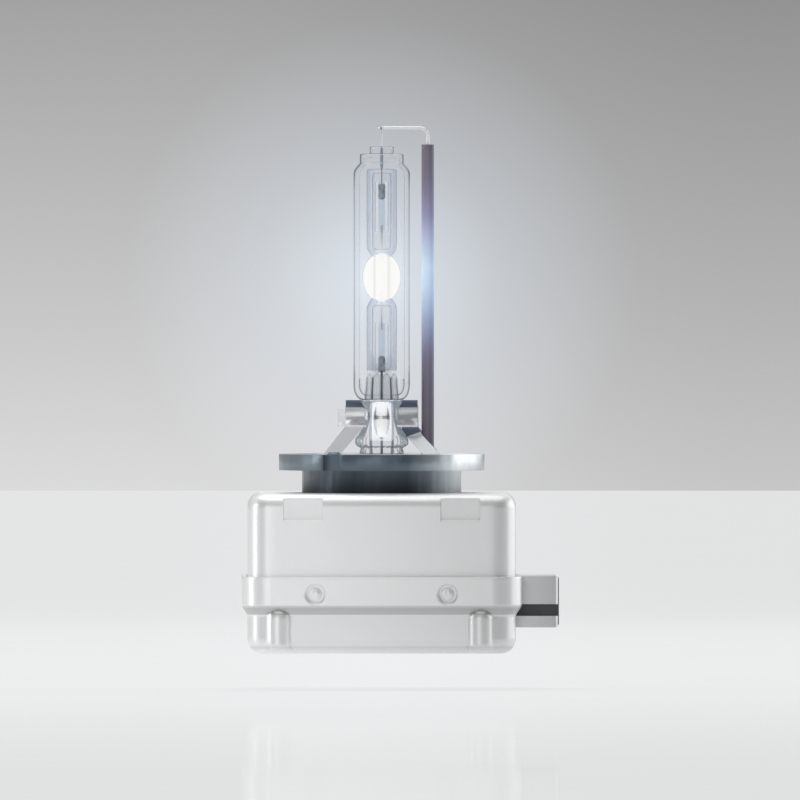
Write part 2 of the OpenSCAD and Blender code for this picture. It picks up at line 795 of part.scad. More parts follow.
// The board's holes, each [x, y, diameter]
function board_holes() = concat(
    [for (i = [-1:1]) [tail_x, i * pin_pitch, pin_d * pin_tail + slip]],
    [for (s = [-1, 1]) [gap_pos.x + s * gap_lead_x(), gap_pos.y, pin_lead_d + slip]],
    [for (s = [-1, 1]) [cap_pos.x + s * cap_size.x * 0.35, cap_pos.y, pin_lead_d + slip]],
    [for (s = [-1, 1]) [res_pos.x + s * (res_l / 2 + 1.2), res_pos.y, pin_lead_d + slip]]
);
function gap_lead_x() = gap_l / 2 + gap_cap_t + 1;

// Everything in the transformer is turned about the X axis through its own middle
module on_trafo() {
    translate([0, trafo_y, trafo_z]) rotate([0, 90, 0]) children();
}

module transformer_core() {
    color("darkgray") on_trafo() cylinder(d = core_d, h = bobbin_l + 2 * core_over, center = true);
}

// The start of a chamber's flange, measured from the bobbin's middle
function chamber_x(i) = -bobbin_l / 2 + i * (bobbin_l - bobbin_flange_t) / chambers;

module transformer_bobbin() {
    color("sandybrown") on_trafo() difference() {
        union() {
            cylinder(d = bobbin_tube_d, h = bobbin_l, center = true);
            for (i = [0:chambers])
                translate([0, 0, chamber_x(i)]) cylinder(r = flange_r, h = bobbin_flange_t);
        }
        cylinder(d = core_d + slip, h = bobbin_l + 1, center = true);
    }
}

// The winding in one chamber of the bobbin
module chamber_winding(i, d) {
    on_trafo() tube(d, bobbin_tube_d, chamber_x(i) + bobbin_flange_t, chamber_x(i + 1));
}

module secondary_winding() {
    color("orange") for (i = [0:chambers - 2]) chamber_winding(i, winding_d);
}

module primary_winding() {
    color("peru") chamber_winding(chambers - 1, winding_d + 0.8);
}

module potting() {
    half_l = bobbin_l / 2 + core_over + 0.2;
    half_w = flange_r + 0.7;
    color("black") difference() {
        span([-half_l, trafo_y - half_w, house_bottom - cover_dish],
             [half_l, trafo_y + half_w, trafo_z + flange_r - 0.6]);
        on_trafo() cylinder(r = flange_r, h = bobbin_l, center = true);
        on_trafo() cylinder(d = core_d, h = bobbin_l + 2 * core_over, center = true);
    }
}

// The lead from the secondary winding's last chamber to the contact under the cap's post
module high_voltage_lead() {
    winding_top = trafo_z + winding_d / 2;
    color("silver") difference() {
        union() {
            rod([0, 0, lead_z], [hv_x, trafo_y, lead_z], 0.8);
            translate([hv_x, trafo_y, winding_top]) cylinder(d = 1.2, h = lead_z - winding_top + 0.6);
        }
        translate([0, 0, lead_z - 2]) cylinder(d = contact_d, h = 4);
    }
}

module spark_gap_body() {
    color("white") translate(gap_pos) rotate([0, 90, 0]) difference() {
        cylinder(d = gap_d, h = gap_l, center = true);
        cylinder(d = gap_d - 2, h = gap_l + 1, center = true);
    }
}

module spark_gap_electrodes() {
    color("silver") for (s = [-1, 1]) {
        translate(gap_pos) rotate([0, s * 90, 0]) {
            translate([0, 0, gap_l / 2]) cylinder(d = gap_cap_d, h = gap_cap_t);
            translate([0, 0, 0.6]) cylinder(d = 3.2, h = gap_l / 2 - 0.6);
            translate([0, 0, gap_l / 2 + gap_cap_t]) cylinder(d = pin_lead_d, h = 1);
        }
        board_lead(gap_pos.x + s * gap_lead_x(), gap_pos.y, gap_pos.z);
    }
}

// A straight lead from height z down through the board, round at its upper end
module board_lead(x, y, z) {
    bottom = board_top - board_t - lead_through;
    translate([x, y, bottom]) cylinder(d = pin_lead_d, h = z - bottom);
    translate([x, y, z]) sphere(d = pin_lead_d);
}

module storage_capacitor() {
    color("royalblue") translate(cap_pos - [cap_size.x / 2, cap_size.y / 2, 0]) cube(cap_size);
}

module capacitor_leads() {
    color("silver") for (s = [-1, 1])
        translate([cap_pos.x + s * cap_size.x * 0.35, cap_pos.y, board_top - board_t - lead_through])
            cylinder(d = pin_lead_d, h = board_t + lead_through);
}

module discharge_resistor() {
    color("tan") translate(res_pos) rotate([0, 90, 0]) {
        cylinder(d = res_d, h = res_l, center = true);
        for (s = [-1, 1])
            translate([0, 0, s * (res_l / 2 - 0.8)]) cylinder(d = res_d + 0.3, h = 1.4, center = true);
    }
}

module resistor_leads() {
    color("silver") for (s = [-1, 1]) {
        rod(res_pos + [s * (res_l / 2), 0, 0], res_pos + [s * (res_l / 2 + 1.2), 0, 0], pin_lead_d);
        board_lead(res_pos.x + s * (res_l / 2 + 1.2), res_pos.y, res_pos.z);
    }
}

// A cone of solder under the board round each lead
module solder_joints() {
    color("lightgray") for (p = board_holes()) translate([p.x, p.y, board_top - board_t - 0.6]) difference() {
        cylinder(d1 = p.z + 0.1, d2 = p.z + 1, h = 0.6);
        translate([0, 0, -1]) cylinder(d = p.z - slip, h = 3);
    }
}

// ---------- Connector ----------

module connector_body() {
    in_y = body_w / 2 - plug_wall;
    in_z = body_h / 2 - plug_wall;
    color("#303234") difference() {
        span([plug_back, -body_w / 2, plug_z - body_h / 2], [plug_front, body_w / 2, plug_z + body_h / 2]);
        span([socket_back, -in_y, plug_z - in_z], [plug_front + 1, in_y, plug_z + in_z]);
        for (i = [-1:1])
            translate([plug_back - 1, i * pin_pitch, plug_z]) rotate([0, 90, 0]) cylinder(d = pin_d, h = 5);
    }
}

// Three pins, each with a tail bent down through the board
module connector_pins() {
    end_x = pin_tip - pin_d / 2;
    tail_bottom = board_top - board_t - lead_through;
    color("gold") for (y = [-pin_pitch, 0, pin_pitch]) {
        rod([tail_x, y, plug_z], [end_x, y, plug_z], pin_d);
        for (x = [tail_x, end_x]) translate([x, y, plug_z]) sphere(d = pin_d);
        translate([tail_x, y, tail_bottom]) cylinder(d = pin_d * pin_tail, h = plug_z - tail_bottom);
    }
}

// A sheet-metal trough over the connector's top (side 1) or under its bottom (side -1)
module screen(side, h, back) {
    half_w = plug_w / 2;
    translate([0, 0, side > 0 ? plug_top : plug_bottom]) mirror([0, 0, side > 0 ? 0 : 1]) difference() {
        span([back, -half_w, -h], [plug_front - 0.15, half_w, 0]);
        span([back - 1, -half_w + screen_t, -h - 1], [plug_front + 1, half_w - screen_t, -screen_t]);
    }
}

module connector_screen_upper() {
    color("darkgray") screen(1, screen_upper_h, socket_back);
}

module connector_screen_lower() {
    color("darkgray") screen(-1, screen_lower_h, socket_back);
}

// ---------- Nodes ----------

outer_bulb();
burner();
glass_stem();
electrode(1);  // upper_electrode
electrode(-1);  // lower_electrode
foil(1);  // upper_foil
foil(-1);  // lower_foil
upper_lead();
lower_lead();
lead_bush();
lead_collar();
return_wire();
ceramic_sleeve();
return_weld();
bulb_clamp();
leg(-1, -1);  // leg_front_left
leg(1, -1);  // leg_front_right
leg(-1, 1);  // leg_back_left
leg(1, 1);  // leg_back_right
leg_ring();
cap();
lead_insulator();
lead_contact();
return_terminal();
shield_can();
shield_pan();
case_rivets();
igniter_housing();
housing_cover();
circuit_board();
transformer_core();
transformer_bobbin();
secondary_winding();
primary_winding();
potting();
high_voltage_lead();
spark_gap_body();
spark_gap_electrodes();
storage_capacitor();
capacitor_leads();
discharge_resistor();
resistor_leads();
solder_joints();
connector_body();
connector_pins();
connector_screen_upper();
connector_screen_lower();
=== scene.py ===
import math

import bpy
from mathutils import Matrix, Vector


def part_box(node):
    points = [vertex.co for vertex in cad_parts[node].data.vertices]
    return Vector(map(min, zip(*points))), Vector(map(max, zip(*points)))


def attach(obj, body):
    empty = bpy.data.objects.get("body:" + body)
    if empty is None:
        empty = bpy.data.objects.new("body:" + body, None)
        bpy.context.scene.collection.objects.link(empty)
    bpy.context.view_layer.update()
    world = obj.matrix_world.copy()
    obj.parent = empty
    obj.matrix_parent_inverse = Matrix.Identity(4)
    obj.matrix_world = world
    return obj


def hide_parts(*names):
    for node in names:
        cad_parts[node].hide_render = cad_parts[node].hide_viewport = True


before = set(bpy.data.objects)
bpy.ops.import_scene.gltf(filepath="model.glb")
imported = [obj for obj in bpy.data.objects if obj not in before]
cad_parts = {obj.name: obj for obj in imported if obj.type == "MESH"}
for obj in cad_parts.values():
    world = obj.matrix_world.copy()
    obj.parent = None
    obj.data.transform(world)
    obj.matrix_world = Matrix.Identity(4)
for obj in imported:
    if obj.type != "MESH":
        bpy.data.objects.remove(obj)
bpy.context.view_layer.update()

MM = 0.001
TAU = 2 * math.pi


# ---------- Sizes, read from the frame ----------

def box_mm(node):
    low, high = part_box(node)
    return [v / MM for v in low], [v / MM for v in high]


BULB, BURNER, STEM = box_mm("outer_bulb"), box_mm("burner"), box_mm("glass_stem")
CAN, PAN, RIVETS = box_mm("shield_can"), box_mm("shield_pan"), box_mm("case_rivets")
SLEEVE, WIRE, PLUG = box_mm("ceramic_sleeve"), box_mm("return_wire"), box_mm("connector_screen_upper")
FOIL_UP, FOIL_LOW = box_mm("upper_foil"), box_mm("lower_foil")
TIP_UP, TIP_LOW = box_mm("upper_electrode"), box_mm("lower_electrode")
ARC_Z = (TIP_UP[0][2] + TIP_LOW[1][2]) / 2
BULB_R, BULB_FOOT, BULB_TOP = BULB[1][0], BULB[0][2], BULB[1][2]
VESSEL_R = BURNER[1][0]
STEM_TOP = STEM[1][2]
SKIRT_TOP = ARC_Z - 15.3
HALF_W, HALF_L = CAN[1][0], CAN[1][1]
CASE_TOP, CASE_BOTTOM = CAN[1][2], PAN[0][2]
RIM_TOP = PAN[1][2]
RIM_OUT = -PAN[0][0] - HALF_W
PLUG_TOP = PLUG[1][2]
PLUG_BOTTOM = box_mm("connector_screen_lower")[0][2]
PLUG_HALF = PLUG[1][1]


# ---------- Mesh helpers ----------

def smooth(t):
    t = min(1.0, max(0.0, t))
    return t * t * (3 - 2 * t)


def step(x, edge, soft):
    """0 before edge and 1 after it, blended over soft."""
    return smooth((x - edge) / soft + 0.5)


def spread(a, b, gap):
    n = max(1, math.ceil(abs(b - a) / gap - 1e-6))
    return [a + (b - a) * i / n for i in range(n + 1)]


def arc(cx, cz, r, a0, a1, n, rz=None):
    rz = r if rz is None else rz
    return [(cx + r * math.cos(math.radians(a0 + (a1 - a0) * i / n)),
             cz + rz * math.sin(math.radians(a0 + (a1 - a0) * i / n))) for i in range(n + 1)]


def make(name, shells, mats, stands_for=(), body="root"):
    """One piece from closed shells, each (vertices, faces, material number), in millimetres."""
    verts, faces, which = [], [], []
    for shell in shells:
        base = len(verts)
        verts += shell[0]
        faces += [[i + base for i in f] for f in shell[1]]
        which += [shell[2] if len(shell) > 2 else 0] * len(shell[1])
    mesh = bpy.data.meshes.new(name)
    mesh.from_pydata([[c * MM for c in v] for v in verts], [], faces)
    mesh.polygons.foreach_set("use_smooth", [True] * len(mesh.polygons))
    mesh.polygons.foreach_set("material_index", which)
    for mat in mats if isinstance(mats, (list, tuple)) else [mats]:
        mesh.materials.append(mat)
    obj = bpy.data.objects.new(name, mesh)
    bpy.context.scene.collection.objects.link(obj)
    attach(obj, body)
    if stands_for:
        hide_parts(*stands_for)
    return obj


def sharpen(obj, angle=35):
    """Keeps edges steeper than angle crisp."""
    obj.data.set_sharp_from_angle(angle=math.radians(angle))


def bevel(obj, width, segments=2, angle=35, weld=False):
    if weld:
        m = obj.modifiers.new("weld", "WELD")
        m.merge_threshold = 2e-6
    m = obj.modifiers.new("bevel", "BEVEL")
    m.width = width * MM
    m.segments = segments
    m.limit_method = "ANGLE"
    m.angle_limit = math.radians(angle)
    m.harden_normals = True


def lathe(outline, segs=96, shape=None, at=0.0, mat=0):
    """A turned shell about the vertical line at x = at. The outline of (r, z) is closed, or starts and ends
    on the axis. shape(r, z, angle) may push a point in or out."""
    verts, faces, rows = [], [], []
    for r, z in outline:
        n = segs if r > 1e-6 else 1
        rows.append(range(len(verts), len(verts) + n))
        for i in range(n):
            a = TAU * i / segs
            rr = shape(r, z, a) if shape and r > 1e-6 else r
            verts.append((at + rr * math.cos(a), rr * math.sin(a), z))
    for k in range(len(rows) if len(rows[0]) > 1 else len(rows) - 1):
        a, b = rows[k], rows[(k + 1) % len(rows)]
        for i in range(segs):
            j = (i + 1) % segs
            if len(a) == 1:
                faces.append((a[0], b[j], b[i]))
            elif len(b) == 1:
                faces.append((a[i], a[j], b[0]))
            else:
                faces.append((a[i], a[j], b[j], b[i]))
    return verts, faces, mat


def wire(points, radius, segs=24):
    """A round wire along points in the XZ plane. radius gives its size at a distance along it."""
    verts, faces, rows = [], [], []
    pts = [Vector(p) for p in points]
    side = Vector((0, 1, 0))
    run = 0
    for i, p in enumerate(pts):
        ahead = (pts[min(i + 1, len(pts) - 1)] - pts[max(i - 1, 0)]).normalized()
        run += (p - pts[i - 1]).length if i else 0
        r = radius(run)
        u = side.cross(ahead).normalized()
        rows.append(range(len(verts), len(verts) + segs))
        for k in range(segs):
            q = TAU * k / segs
            verts.append(tuple(p + u * r * math.cos(q) + side * r * math.sin(q)))
    for a, b in zip(rows, rows[1:]):
        faces += [(a[(k + 1) % segs], a[k], b[k], b[(k + 1) % segs]) for k in range(segs)]
    faces += [tuple(rows[0]), tuple(reversed(rows[-1]))]
    return verts, faces


def plate(outline, y0, y1):
    """A flat plate from an outline of (x, z), anticlockwise seen from -Y, between y0 and y1."""
    n = len(outline)
    verts = [(x, y0, z) for x, z in outline] + [(x, y1, z) for x, z in outline]
    faces = [tuple(range(n)), tuple(reversed(range(n, 2 * n)))]
    faces += [((i + 1) % n, i, n + i, n + (i + 1) % n) for i in range(n)]
    return verts, faces


# ---------- Shader nodes ----------

def shader(name):
    """A new material: itself, its nodes, its shader and the place on the object, in metres."""
    mat = bpy.data.materials.new(name)
    mat.use_nodes = True
    nt = mat.node_tree
    coord = nt.nodes.new("ShaderNodeTexCoord")
    return mat, nt, nt.nodes["Principled BSDF"], coord.outputs["Object"]


def fill(nt, node, inputs):
    """Gives each input of a node a value, or a link from another node's output."""
    for key, value in inputs.items():
        if isinstance(value, bpy.types.NodeSocket):
            nt.links.new(value, node.inputs[key])
        else:
            node.inputs[key].default_value = value


def add(nt, kind, inputs, **settings):
    node = nt.nodes.new("ShaderNode" + kind)
    for key, value in settings.items():
        setattr(node, key, value)
    fill(nt, node, inputs)
    return node


def maths(nt, kind, *values, clamp=False):
    node = add(nt, "Math", dict(enumerate(values)), operation=kind, use_clamp=clamp)
    return node.outputs["Value"]


def mixed(nt, a, b, kind="MIX", factor=1.0):
    node = add(nt, "Mix", {"Factor": factor, "A": a, "B": b}, data_type="RGBA", blend_type=kind)
    return node.outputs["Result"]


def along(nt, value, low, high, ends=(0.0, 1.0), kind="LINEAR"):
    """How far a value has come from low to high, kept between the two ends."""
    limits = {"From Min": low, "From Max": high, "To Min": ends[0], "To Max": ends[1]}
    node = add(nt, "MapRange", {"Value": value, **limits}, interpolation_type=kind)
    return node.outputs["Result"]


def xyz(nt, coord):
    return add(nt, "SeparateXYZ", {"Vector": coord}).outputs


def facing_away(nt):
    """0 where a surface faces the eye and 1 where it turns away."""
    return add(nt, "LayerWeight", {"Blend": 0.5}).outputs["Facing"]


def noise(nt, coord, scale, detail=4, rough=0.55, stretch=(1, 1, 1)):
    mapping = add(nt, "Mapping", {"Vector": coord, "Scale": stretch})
    grain = {"Scale": scale, "Detail": detail, "Roughness": rough}
    return add(nt, "TexNoise", {"Vector": mapping.outputs["Vector"], **grain}).outputs["Fac"]


def ramp(nt, fac, stops):
    node = nt.nodes.new("ShaderNodeValToRGB")
    el = node.color_ramp.elements
    while len(el) < len(stops):
        el.new(0.5)
    for e, (pos, color) in zip(el, stops):
        e.position = pos
        e.color = (*color, 1) if len(color) == 3 else color
    nt.links.new(fac, node.inputs["Fac"])
    return node.outputs["Color"]


def grey(v):
    return (v, v, v)


def tint(c, k):
    return tuple(min(1, v * k) for v in c)


def by_place(nt, coord, axis, low, high, stops):
    """A ramp by place along an axis, in millimetres."""
    place = add(nt, "VectorMath", {0: coord, 1: axis}, operation="DOT_PRODUCT")
    span = along(nt, place.outputs["Value"], low * MM, high * MM)
    return ramp(nt, span, [((z - low) / (high - low), c) for z, c in stops])


def halo(nt, coord, reach):
    """Fades from 1 at the arc to 0 at a distance, in metres."""
    away = add(nt, "VectorMath", {0: coord, 1: (0, 0, ARC_Z * MM)}, operation="DISTANCE")
    return along(nt, away.outputs["Value"], 0.0, reach, (1.0, 0.0), "SMOOTHSTEP")


# ---------- Materials ----------

def finish_of(name, base, metallic=0.0, rough=0.4, vary=0.06, color_vary=0.05, grain=900, bump=0.0004,
              stretch=(1, 1, 1), blotch=60, wear=None, coat=0.0):
    """A slightly uneven finish: blotches in its colour, a fine grain in its gloss and relief, and, where wear
    is given, edges of that colour."""
    mat, nt, bsdf, coord = shader(name)
    big = noise(nt, coord, blotch, 3)
    fine = noise(nt, coord, grain, 5, 0.6, stretch)
    color = ramp(nt, big, [(0.3, tint(base, 1 - color_vary)), (0.7, tint(base, 1 + color_vary))])
    if wear:
        geo = add(nt, "NewGeometry", {})
        edge = ramp(nt, geo.outputs["Pointiness"], [(0.52, grey(0)), (0.6, grey(1))])
        color = mixed(nt, color, (*wear, 1), factor=edge)
    relief = add(nt, "Bump", {"Strength": 0.35, "Distance": bump * 0.1, "Height": fine})
    fill(nt, bsdf, {
        "Base Color": color,
        "Roughness": ramp(nt, fine, [(0.3, grey(rough - vary)), (0.7, grey(rough + vary))]),
        "Normal": relief.outputs["Normal"],
        "Metallic": metallic,
        "Coat Weight": coat,
    })
    return mat


def glass(name, body, wall, rim, tone=(0.1, 0.13, 0.17), face=(0.9, 0.94, 1.0), start=0.3, end=0.78,
          glow=0.06, painted_shade=()):
    """Clear drawn glass. body, wall and rim say how much it hides where it faces the eye, through its wall
    and at its outline. It has a painted glow round the arc, standing in for the arc's light on it. Height
    marks change how much it hides, as painted shade at its shoulders, steps and tip."""
    mat, nt, bsdf, coord = shader(name)
    haze = noise(nt, coord, 260, 3, 0.5, (1, 1, 0.25))
    uneven = maths(nt, "MULTIPLY_ADD", haze, 0.06, facing_away(nt))
    hide = ramp(nt, uneven, [(0.0, grey(body)), (start, grey(body)), (start + 0.06, grey(wall)),
                             (end, grey(wall)), (end + 0.1, grey(rim))])
    for low, high, kind, stops in painted_shade:
        mark = by_place(nt, coord, (0, 0, 1), low, high, [(z, grey(v)) for z, v in stops])
        hide = maths(nt, kind, hide, mark)
    near = halo(nt, coord, 0.017)
    fill(nt, bsdf, {
        "Alpha": maths(nt, "MULTIPLY_ADD", near, 0.35 * glow, hide, clamp=True),
        "Base Color": ramp(nt, uneven, [(start, face), (end, tint(tone, 2.2)), (end + 0.12, tone)]),
        "Emission Color": ramp(nt, near, [(0.0, grey(0)), (1.0, (0.86 * glow, 0.93 * glow, glow))]),
        "Roughness": ramp(nt, haze, [(0.35, grey(0.03)), (0.75, grey(0.07))]),
        "Emission Strength": 1,
        "IOR": 1.46,
    })
    mat.cycles.emission_sampling = "NONE"
    return mat


def skirt_glass(name):
    """Pressed quartz, frosty on its flutes, with painted shade in the grooves between them and a painted
    shade line along the arch at each flute's upper end.
    """
    mat, nt, bsdf, coord = shader(name)
    turn = add(nt, "TexGradient", {"Vector": coord}, gradient_type="RADIAL").outputs["Fac"]
    part = maths(nt, "FRACT", maths(nt, "MULTIPLY_ADD", turn, FLUTES, 0.5))
    # The grooves' slate colour is painted shade.
    light, groove_shade, mid = (0.86, 0.89, 0.93), (0.06, 0.085, 0.13), (0.6, 0.65, 0.7)
    color = ramp(nt, part, [(0.0, groove_shade), (0.07, groove_shade), (0.14, mid), (0.3, light), (0.75, light), (0.86, mid),
                            (0.93, groove_shade)])
    hide = ramp(nt, part, [(0.08, grey(0.92)), (0.2, grey(0.6)), (0.8, grey(0.6)), (0.93, grey(0.92))])
    middle = maths(nt, "SUBTRACT", part, 0.5)
    drop = maths(nt, "MULTIPLY", middle, middle)
    height = maths(nt, "MULTIPLY_ADD", drop, ARCH_DROP * MM, xyz(nt, coord)["Z"])
    band = along(nt, height, SKIRT_TOP * MM, (SKIRT_TOP + 0.5) * MM)
    # A painted shade line along the arched upper ends of the flutes, lighter above it.
    arch_shade_line = ramp(nt, band, [(0.0, grey(1)), (0.25, grey(1)), (0.45, (0.25, 0.29, 0.36)), (0.62, grey(1.1)),
                           (1.0, grey(1.1))])
    fade = ramp(nt, band, [(0.7, grey(1)), (0.95, grey(0.12))])
    fill(nt, bsdf, {
        "Base Color": mixed(nt, color, arch_shade_line, "MULTIPLY"),
        "Alpha": mixed(nt, hide, fade, "MULTIPLY"),
        "Roughness": ramp(nt, noise(nt, coord, 900, 3), [(0.3, grey(0.12)), (0.7, grey(0.2))]),
    })
    return mat


def hot(name):
    """The white-hot vessel, with faint upright streaks."""
    mat, nt, bsdf, coord = shader(name)
    across = along(nt, xyz(nt, coord)["X"], -VESSEL_R * MM, VESSEL_R * MM)
    white, shade, edge = (1.0, 0.99, 0.97), (0.84, 0.825, 0.8), (0.9, 0.93, 0.9)
    streaks = noise(nt, coord, 420, 1, 0.4, (1, 1, 0.03))
    fill(nt, bsdf, {
        "Emission Color": ramp(nt, across, [(0.0, edge), (0.08, white), (0.27, white), (0.31, shade),
                                            (0.37, white), (0.63, white), (0.68, shade), (0.75, white),
                                            (0.92, white), (1.0, edge)]),
        "Roughness": ramp(nt, streaks, [(0.3, grey(0.8)), (0.7, grey(0.6))]),
        "Alpha": ramp(nt, facing_away(nt), [(0.0, grey(0.9)), (0.9, grey(0.85))]),
        "Base Color": (0, 0, 0, 1),
        "Specular IOR Level": 0,
        "Emission Strength": 1,
    })
    mat.cycles.emission_sampling = "NONE"
    return mat


def lit(mat, reach, half, close):
    """Paints the light a finish would catch from the arc, as emission by distance."""
    nt = mat.node_tree
    near = halo(nt, nt.nodes["Texture Coordinate"].outputs["Object"], reach)
    caught = ramp(nt, near, [(0.0, grey(0)), (0.4, half), (0.75, close)])
    fill(nt, nt.nodes["Principled BSDF"], {"Emission Color": caught, "Emission Strength": 1})
    mat.cycles.emission_sampling = "NONE"


def glowing(mat, color):
    """Paints an even glow on a finish that is no lamp, standing in for the light it catches."""
    nt = mat.node_tree
    bsdf = nt.nodes["Principled BSDF"]
    for link in bsdf.inputs["Emission Color"].links:
        nt.links.remove(link)
    fill(nt, bsdf, {"Emission Color": (*color, 1), "Emission Strength": 1})
    mat.cycles.emission_sampling = "NONE"


def zoned(mat, axis, low, high, stops):
    """Colours a finish by place along one axis, in millimetres."""
    nt = mat.node_tree
    bsdf = nt.nodes["Principled BSDF"]
    zones = by_place(nt, nt.nodes["Texture Coordinate"].outputs["Object"], axis, low, high, stops)
    base = bsdf.inputs["Base Color"].links[0].from_socket
    fill(nt, bsdf, {"Base Color": mixed(nt, base, zones, "MULTIPLY")})


def case_steel(name):
    """The case's steel, with painted light: lighter at the left than at the right."""
    mat = finish_of(name, (0.86, 0.865, 0.87), 0.45, 0.34, 0.03, 0.012, 1400, 0.0002, blotch=90)
    # Painted light: the colour fades from lighter at the left to darker at the right.
    painted_light_fade = [(-27, grey(1.12)), (-15, grey(1.08)), (0, grey(0.95)), (10, grey(0.86))]
    zoned(mat, (1, 0, 0.3), -30, 20, painted_light_fade)
    return mat


X, Z = (1, 0, 0), (0, 0, 1)
FLUTES = 10
ARCH_DROP = 3.6
# Painted shade on the bulb glass: more hiding at its foot and shoulders, and thin lines at the tip's steps,
# standing in for the shade its refraction gives.
SHADE_BY_HEIGHT = [(BULB_FOOT + 0.1, 1.7), (BULB_FOOT + 3.1, 1.6), (BULB_FOOT + 5.6, 0.7), (BULB_TOP - 6.9, 0.7),
            (BULB_TOP - 4.7, 1.3), (BULB_TOP - 3.9, 1.9), (BULB_TOP + 0.1, 1.9)]
TIP_SHADE_LINES = [(BULB_TOP + z, v) for z, v in ((-2.75, 0), (-2.63, 0.3), (-2.53, 0.3), (-2.4, 0), (-1.4, 0),
                                            (-1.3, 0.4), (-1.18, 0.4), (-1.06, 0), (-0.3, 0), (-0.2, 0.35),
                                            (-0.1, 0.35))]
PAINTED_GLASS_SHADE = [(0, 50, "MULTIPLY", SHADE_BY_HEIGHT), (BULB_TOP - 3.9, BULB_TOP + 0.1, "ADD", TIP_SHADE_LINES)]

BULB_GLASS = glass("bulb_glass", 0.03, 0.06, 0.5, start=0.42, end=0.66, glow=0.3, painted_shade=PAINTED_GLASS_SHADE)
BULB_INNER = glass("bulb_glass_inner", 0.02, 0.03, 0.3, start=0.42, end=0.76, glow=0.1)
QUARTZ = glass("quartz", 0.03, 0.36, 0.7, (0.12, 0.16, 0.23), (0.75, 0.84, 0.97), 0.2, 0.74)
VESSEL = glass("vessel_quartz", 0.01, 0.03, 0.5, (0.3, 0.36, 0.34), (0.9, 0.92, 0.9), 0.5, 0.8)
QUARTZ_BORE = glass("quartz_bore", 0.05, 0.12, 0.85, (0.07, 0.09, 0.14), start=0.3, end=0.66)
STEM_GLASS = glass("stem_glass", 0.03, 0.6, 0.5, (0.17, 0.21, 0.25), (0.25, 0.3, 0.35), 0.4, 0.85, 0.0)
TAIL_GLASS = glass("tail_glass", 0.03, 0.9, 0.9, (0.95, 0.96, 0.98), (0.95, 0.96, 0.98), 0.27, 0.9, 0.0)
SKIRT_GLASS = skirt_glass("skirt_glass")
GLOW = hot("hot_vessel")


SATIN = case_steel("case_steel")
PAN_MAT = case_steel("pan_steel")
# Painted shade on the pan: a darker band on the slope under the rim, and a fainter one near the bottom edge.
PAINTED_SLOPE_SHADE = [(0.3, 0.95), (1.0, 0.8), (1.3, 0.97), (5.8, 0.96), (6.0, 1.0), (6.15, 0.62), (7.0, 0.58),
         (7.4, 0.78), (7.55, 1.0)]
zoned(PAN_MAT, Z, CASE_BOTTOM, RIM_TOP, [(CASE_BOTTOM + z, grey(v)) for z, v in PAINTED_SLOPE_SHADE])
STRIP = finish_of("spring_steel", (0.88, 0.89, 0.91), 0.5, 0.3, 0.04, 0.02, 2500, 0.0001, (1, 1, 6), 200)
# Painted shade: the clamp's upper flange, which bends away from the light, is coloured dark slate.
zoned(STRIP, Z, 4, 9, [(7.1, grey(1.0)), (7.35, (0.16, 0.2, 0.26)), (8.6, (0.11, 0.15, 0.2))])
LEG_STEEL = finish_of("leg_steel", (0.84, 0.86, 0.88), 0.15, 0.38, 0.04, 0.02, 2500, 0.0001, (1, 1, 6), 200)
# Painted shade: a darker copy of the leg steel for the folded leg, whose downward-facing upper part is
# coloured dark slate.
FOLD_STEEL = finish_of("folded_steel", (0.78, 0.8, 0.82), 0.2, 0.38, 0.04, 0.02, 2500, 0.0001, (1, 1, 6), 200)
zoned(FOLD_STEEL, (-0.36, 0, 1), 0, 3, [(1.25, grey(1.0)), (1.35, (0.13, 0.17, 0.23)),
                                        (3, (0.16, 0.2, 0.27))])
NICKEL = finish_of("nickel", (0.82, 0.83, 0.84), 0.9, 0.25, 0.05, 0.04, 3000, 0.0001, blotch=300)
SCREEN = finish_of("connector_steel", (0.62, 0.63, 0.64), 0.8, 0.34, 0.05, 0.03, 1600, 0.0002, blotch=150)
zoned(SCREEN, X, 20, 28, [(20.5, grey(1.0)), (26.8, grey(0.7)), (27.1, grey(0.7)), (27.25, grey(1.5))])
RETURN_STEEL = finish_of("return_wire_steel", (0.86, 0.87, 0.89), 0.4, 0.3, 0.03, 0.03, 900, 0.00001,
                         blotch=300)
CAP_MAT = finish_of("cap_plastic", (0.125, 0.165, 0.205), 0.6, 0.34, 0.02, 0.02, 900, 0.00003, blotch=60,
                    wear=(0.15, 0.19, 0.23), coat=0.08)
# Painted highlight: the cap is much lighter towards its right side and lighter at its left end, standing in
# for reflections of the side lights.
zoned(CAP_MAT, X, -16, 16, [(-16, (2.0, 1.8, 1.6)), (-9, (1.15, 1.12, 1.1)), (-2, grey(0.9)), (4, grey(0.95)),
                            (8, (3.0, 2.7, 2.4)), (12, (6.5, 5.3, 4.4)), (14.5, (4.6, 3.8, 3.2)),
                            (16, (3.0, 2.6, 2.2))])
# Painted shade: the cap's barrel is darker, most at its bottom, under the flange.
zoned(CAP_MAT, Z, -7, 1, [(-6.2, grey(0.42)), (-2.7, grey(0.66)), (-2.3, grey(0.9)), (0.0, grey(1.0))])
SLEEVE_MAT = finish_of("sleeve_ceramic", (0.21, 0.185, 0.225), 0.0, 0.42, 0.08, 0.06, 1200, 0.0003,
                       (1, 1, 0.3), 150)
# Painted light: the sleeve is lighter and bluer near the arc's height, standing in for the arc's light on it.
zoned(SLEEVE_MAT, Z, 0, 50, [(3, grey(0.85)), (15, (1.0, 1.0, 1.05)), (21, (1.7, 2.1, 2.6)),
                             (26, (3.0, 4.0, 4.2)), (29, (3.5, 4.6, 4.4)), (33, (2.5, 2.9, 3.4)),
                             (37, (1.7, 1.8, 2.1)), (43, (1.15, 1.15, 1.2)), (49, grey(0.95))])
